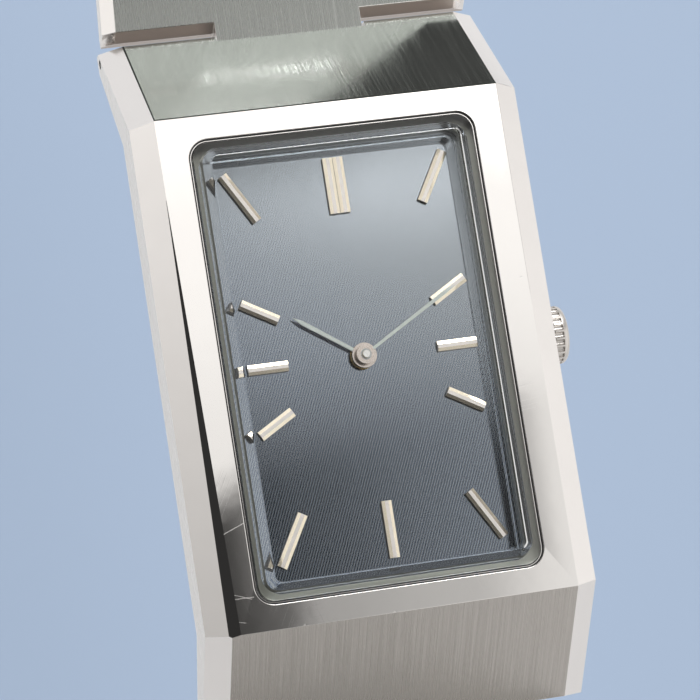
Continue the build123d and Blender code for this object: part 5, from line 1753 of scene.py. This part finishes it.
@dataclass
class Studio:
    """Floor, light and camera, in millimetres."""

    camera_at: Point = (-52.346, -28.156, 234.465)
    camera_turn: Point = (9.00933, -11.61305, -9.07360)
    lens: float = 169.706
    sensor: float = 36.0
    sight: Span = (10.0, 20000.0)
    lamp_at: Point = (84.0, 280.0, 272.0)
    lamp_size: float = 150.0
    lamp_watts: float = 0.42
    floor_depth: float = 70.0
    floor_half: float = 1600.0
    floor_pale: Colour = (0.88, 0.885, 0.9)
    floor_cloud: Colour = (0.86, 0.87, 0.89)
    floor_cloud_scale: float = 14.0
    floor_roughness: float = 0.75
    floor_seen: Colour = (0.224, 0.28, 0.368)
    floor_glow: Colour = (0.24, 0.3, 0.395)
    floor_gloss: Colour = (0.13, 0.13, 0.13)
    flag_corners: tuple[Point, ...] = (
        (10.6, 26.5, 2.5),
        (90.0, 26.5, 2.5),
        (90.0, 130.0, 2.5),
        (0.5, 130.0, 2.5),
        (4.6, 46.0, 2.5),
    )
    flag_black: Colour = (0.012, 0.012, 0.012)
    flag_cloud: Colour = (0.02, 0.02, 0.02)
    flag_cloud_scale: float = 30.0
    flag_roughness: float = 0.9

    @staticmethod
    def _stage_piece(shape: Shape, name: str, paint: Paint) -> bpy.types.Object:
        """Makes a stage piece that is clear from behind.

        Args:
            shape: Its mesh.
            name: Its name.
            paint: Its material's nodes.

        Returns:
            The piece.
        """
        behind = paint.add("ShaderNodeNewGeometry").outputs["Backfacing"]
        paint.swap_shader(behind, paint.add("ShaderNodeBsdfTransparent"))
        return put_in_scene(shape, name, (paint.material,))

    def floor(self) -> None:
        """A wide pale floor, as low as the bracelet folds, and not seen from below."""
        shape = bmesh.new()
        bmesh.ops.create_grid(shape, x_segments=1, y_segments=1, size=self.floor_half * MM)
        bmesh.ops.translate(shape, verts=shape.verts[:], vec=(0.0, 0.0, -self.floor_depth * MM))
        paint = Paint("pale_floor")
        cloud = paint.noise(paint.place, self.floor_cloud_scale)
        pale = paint.mix(cloud, self.floor_pale, self.floor_cloud)
        rays = paint.add("ShaderNodeLightPath")
        glow = paint.mix(rays.outputs["Is Glossy Ray"], (0.0, 0.0, 0.0), self.floor_gloss)
        sight = rays.outputs["Is Camera Ray"]
        paint.shade(
            Base_Color=paint.mix(sight, pale, self.floor_seen),
            Emission_Color=paint.mix(sight, glow, self.floor_glow),
            Emission_Strength=1.0,
            Roughness=self.floor_roughness,
        )
        floor = self._stage_piece(shape, "floor", paint)

    def flag(self) -> None:
        """A black card beside the upper links, seen only in gloss from above."""
        shape = bmesh.new()
        corners = [shape.verts.new(Vector(corner) * MM) for corner in self.flag_corners]
        shape.faces.new(corners).normal_update()
        paint = Paint("flag_black")
        cloud = paint.noise(paint.place, self.flag_cloud_scale)
        paint.shade(
            Base_Color=paint.mix(cloud, self.flag_black, self.flag_cloud), Roughness=self.flag_roughness
        )
        card = self._stage_piece(shape, "flag", paint)
        for sight in ("camera", "diffuse", "transmission", "volume_scatter", "shadow"):
            setattr(card, f"visible_{sight}", False)

    def lamp(self) -> None:
        """One soft lamp behind the watch that looks at it."""
        name = "back_softbox"
        data = bpy.data.lights.new(name, "AREA")
        data.energy = self.lamp_watts
        data.size = self.lamp_size * MM
        lamp = bpy.data.objects.new(name, data)
        lamp.location = Vector(self.lamp_at) * MM
        lamp.rotation_euler = (-Vector(self.lamp_at)).to_track_quat("-Z", "Y").to_euler()
        bpy.context.scene.collection.objects.link(lamp)

    def camera(self) -> None:
        """The camera at the photograph's angle."""
        data = bpy.data.cameras.new("camera")
        data.sensor_width = self.sensor
        data.lens = self.lens
        data.clip_start, data.clip_end = (place * MM for place in self.sight)
        camera = bpy.data.objects.new("camera", data)
        camera.location = Vector(self.camera_at) * MM
        camera.rotation_euler = Euler([math.radians(a) for a in self.camera_turn], "XYZ")
        bpy.context.scene.collection.objects.link(camera)
        bpy.context.scene.camera = camera

    def build(self) -> None:
        """Sets the whole stage."""
        self.floor()
        Room().build()
        self.flag()
        self.lamp()
        self.camera()
        bpy.context.scene.view_settings.view_transform = "Standard"


def main() -> None:
    """Builds every sub-assembly in order."""
    logging.basicConfig(level=logging.INFO, format="%(message)s")
    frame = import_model()
    shop = Workshop(frame["nodes"], Effects())
    for kind in (Case, Crystal, Dial, Hands, Crown, Bracelet, Clasp, Movement):
        kind(shop).build()
        LOG.info("built %s", kind.__name__)
    Studio().build()


if __name__ == "__main__":
    main()
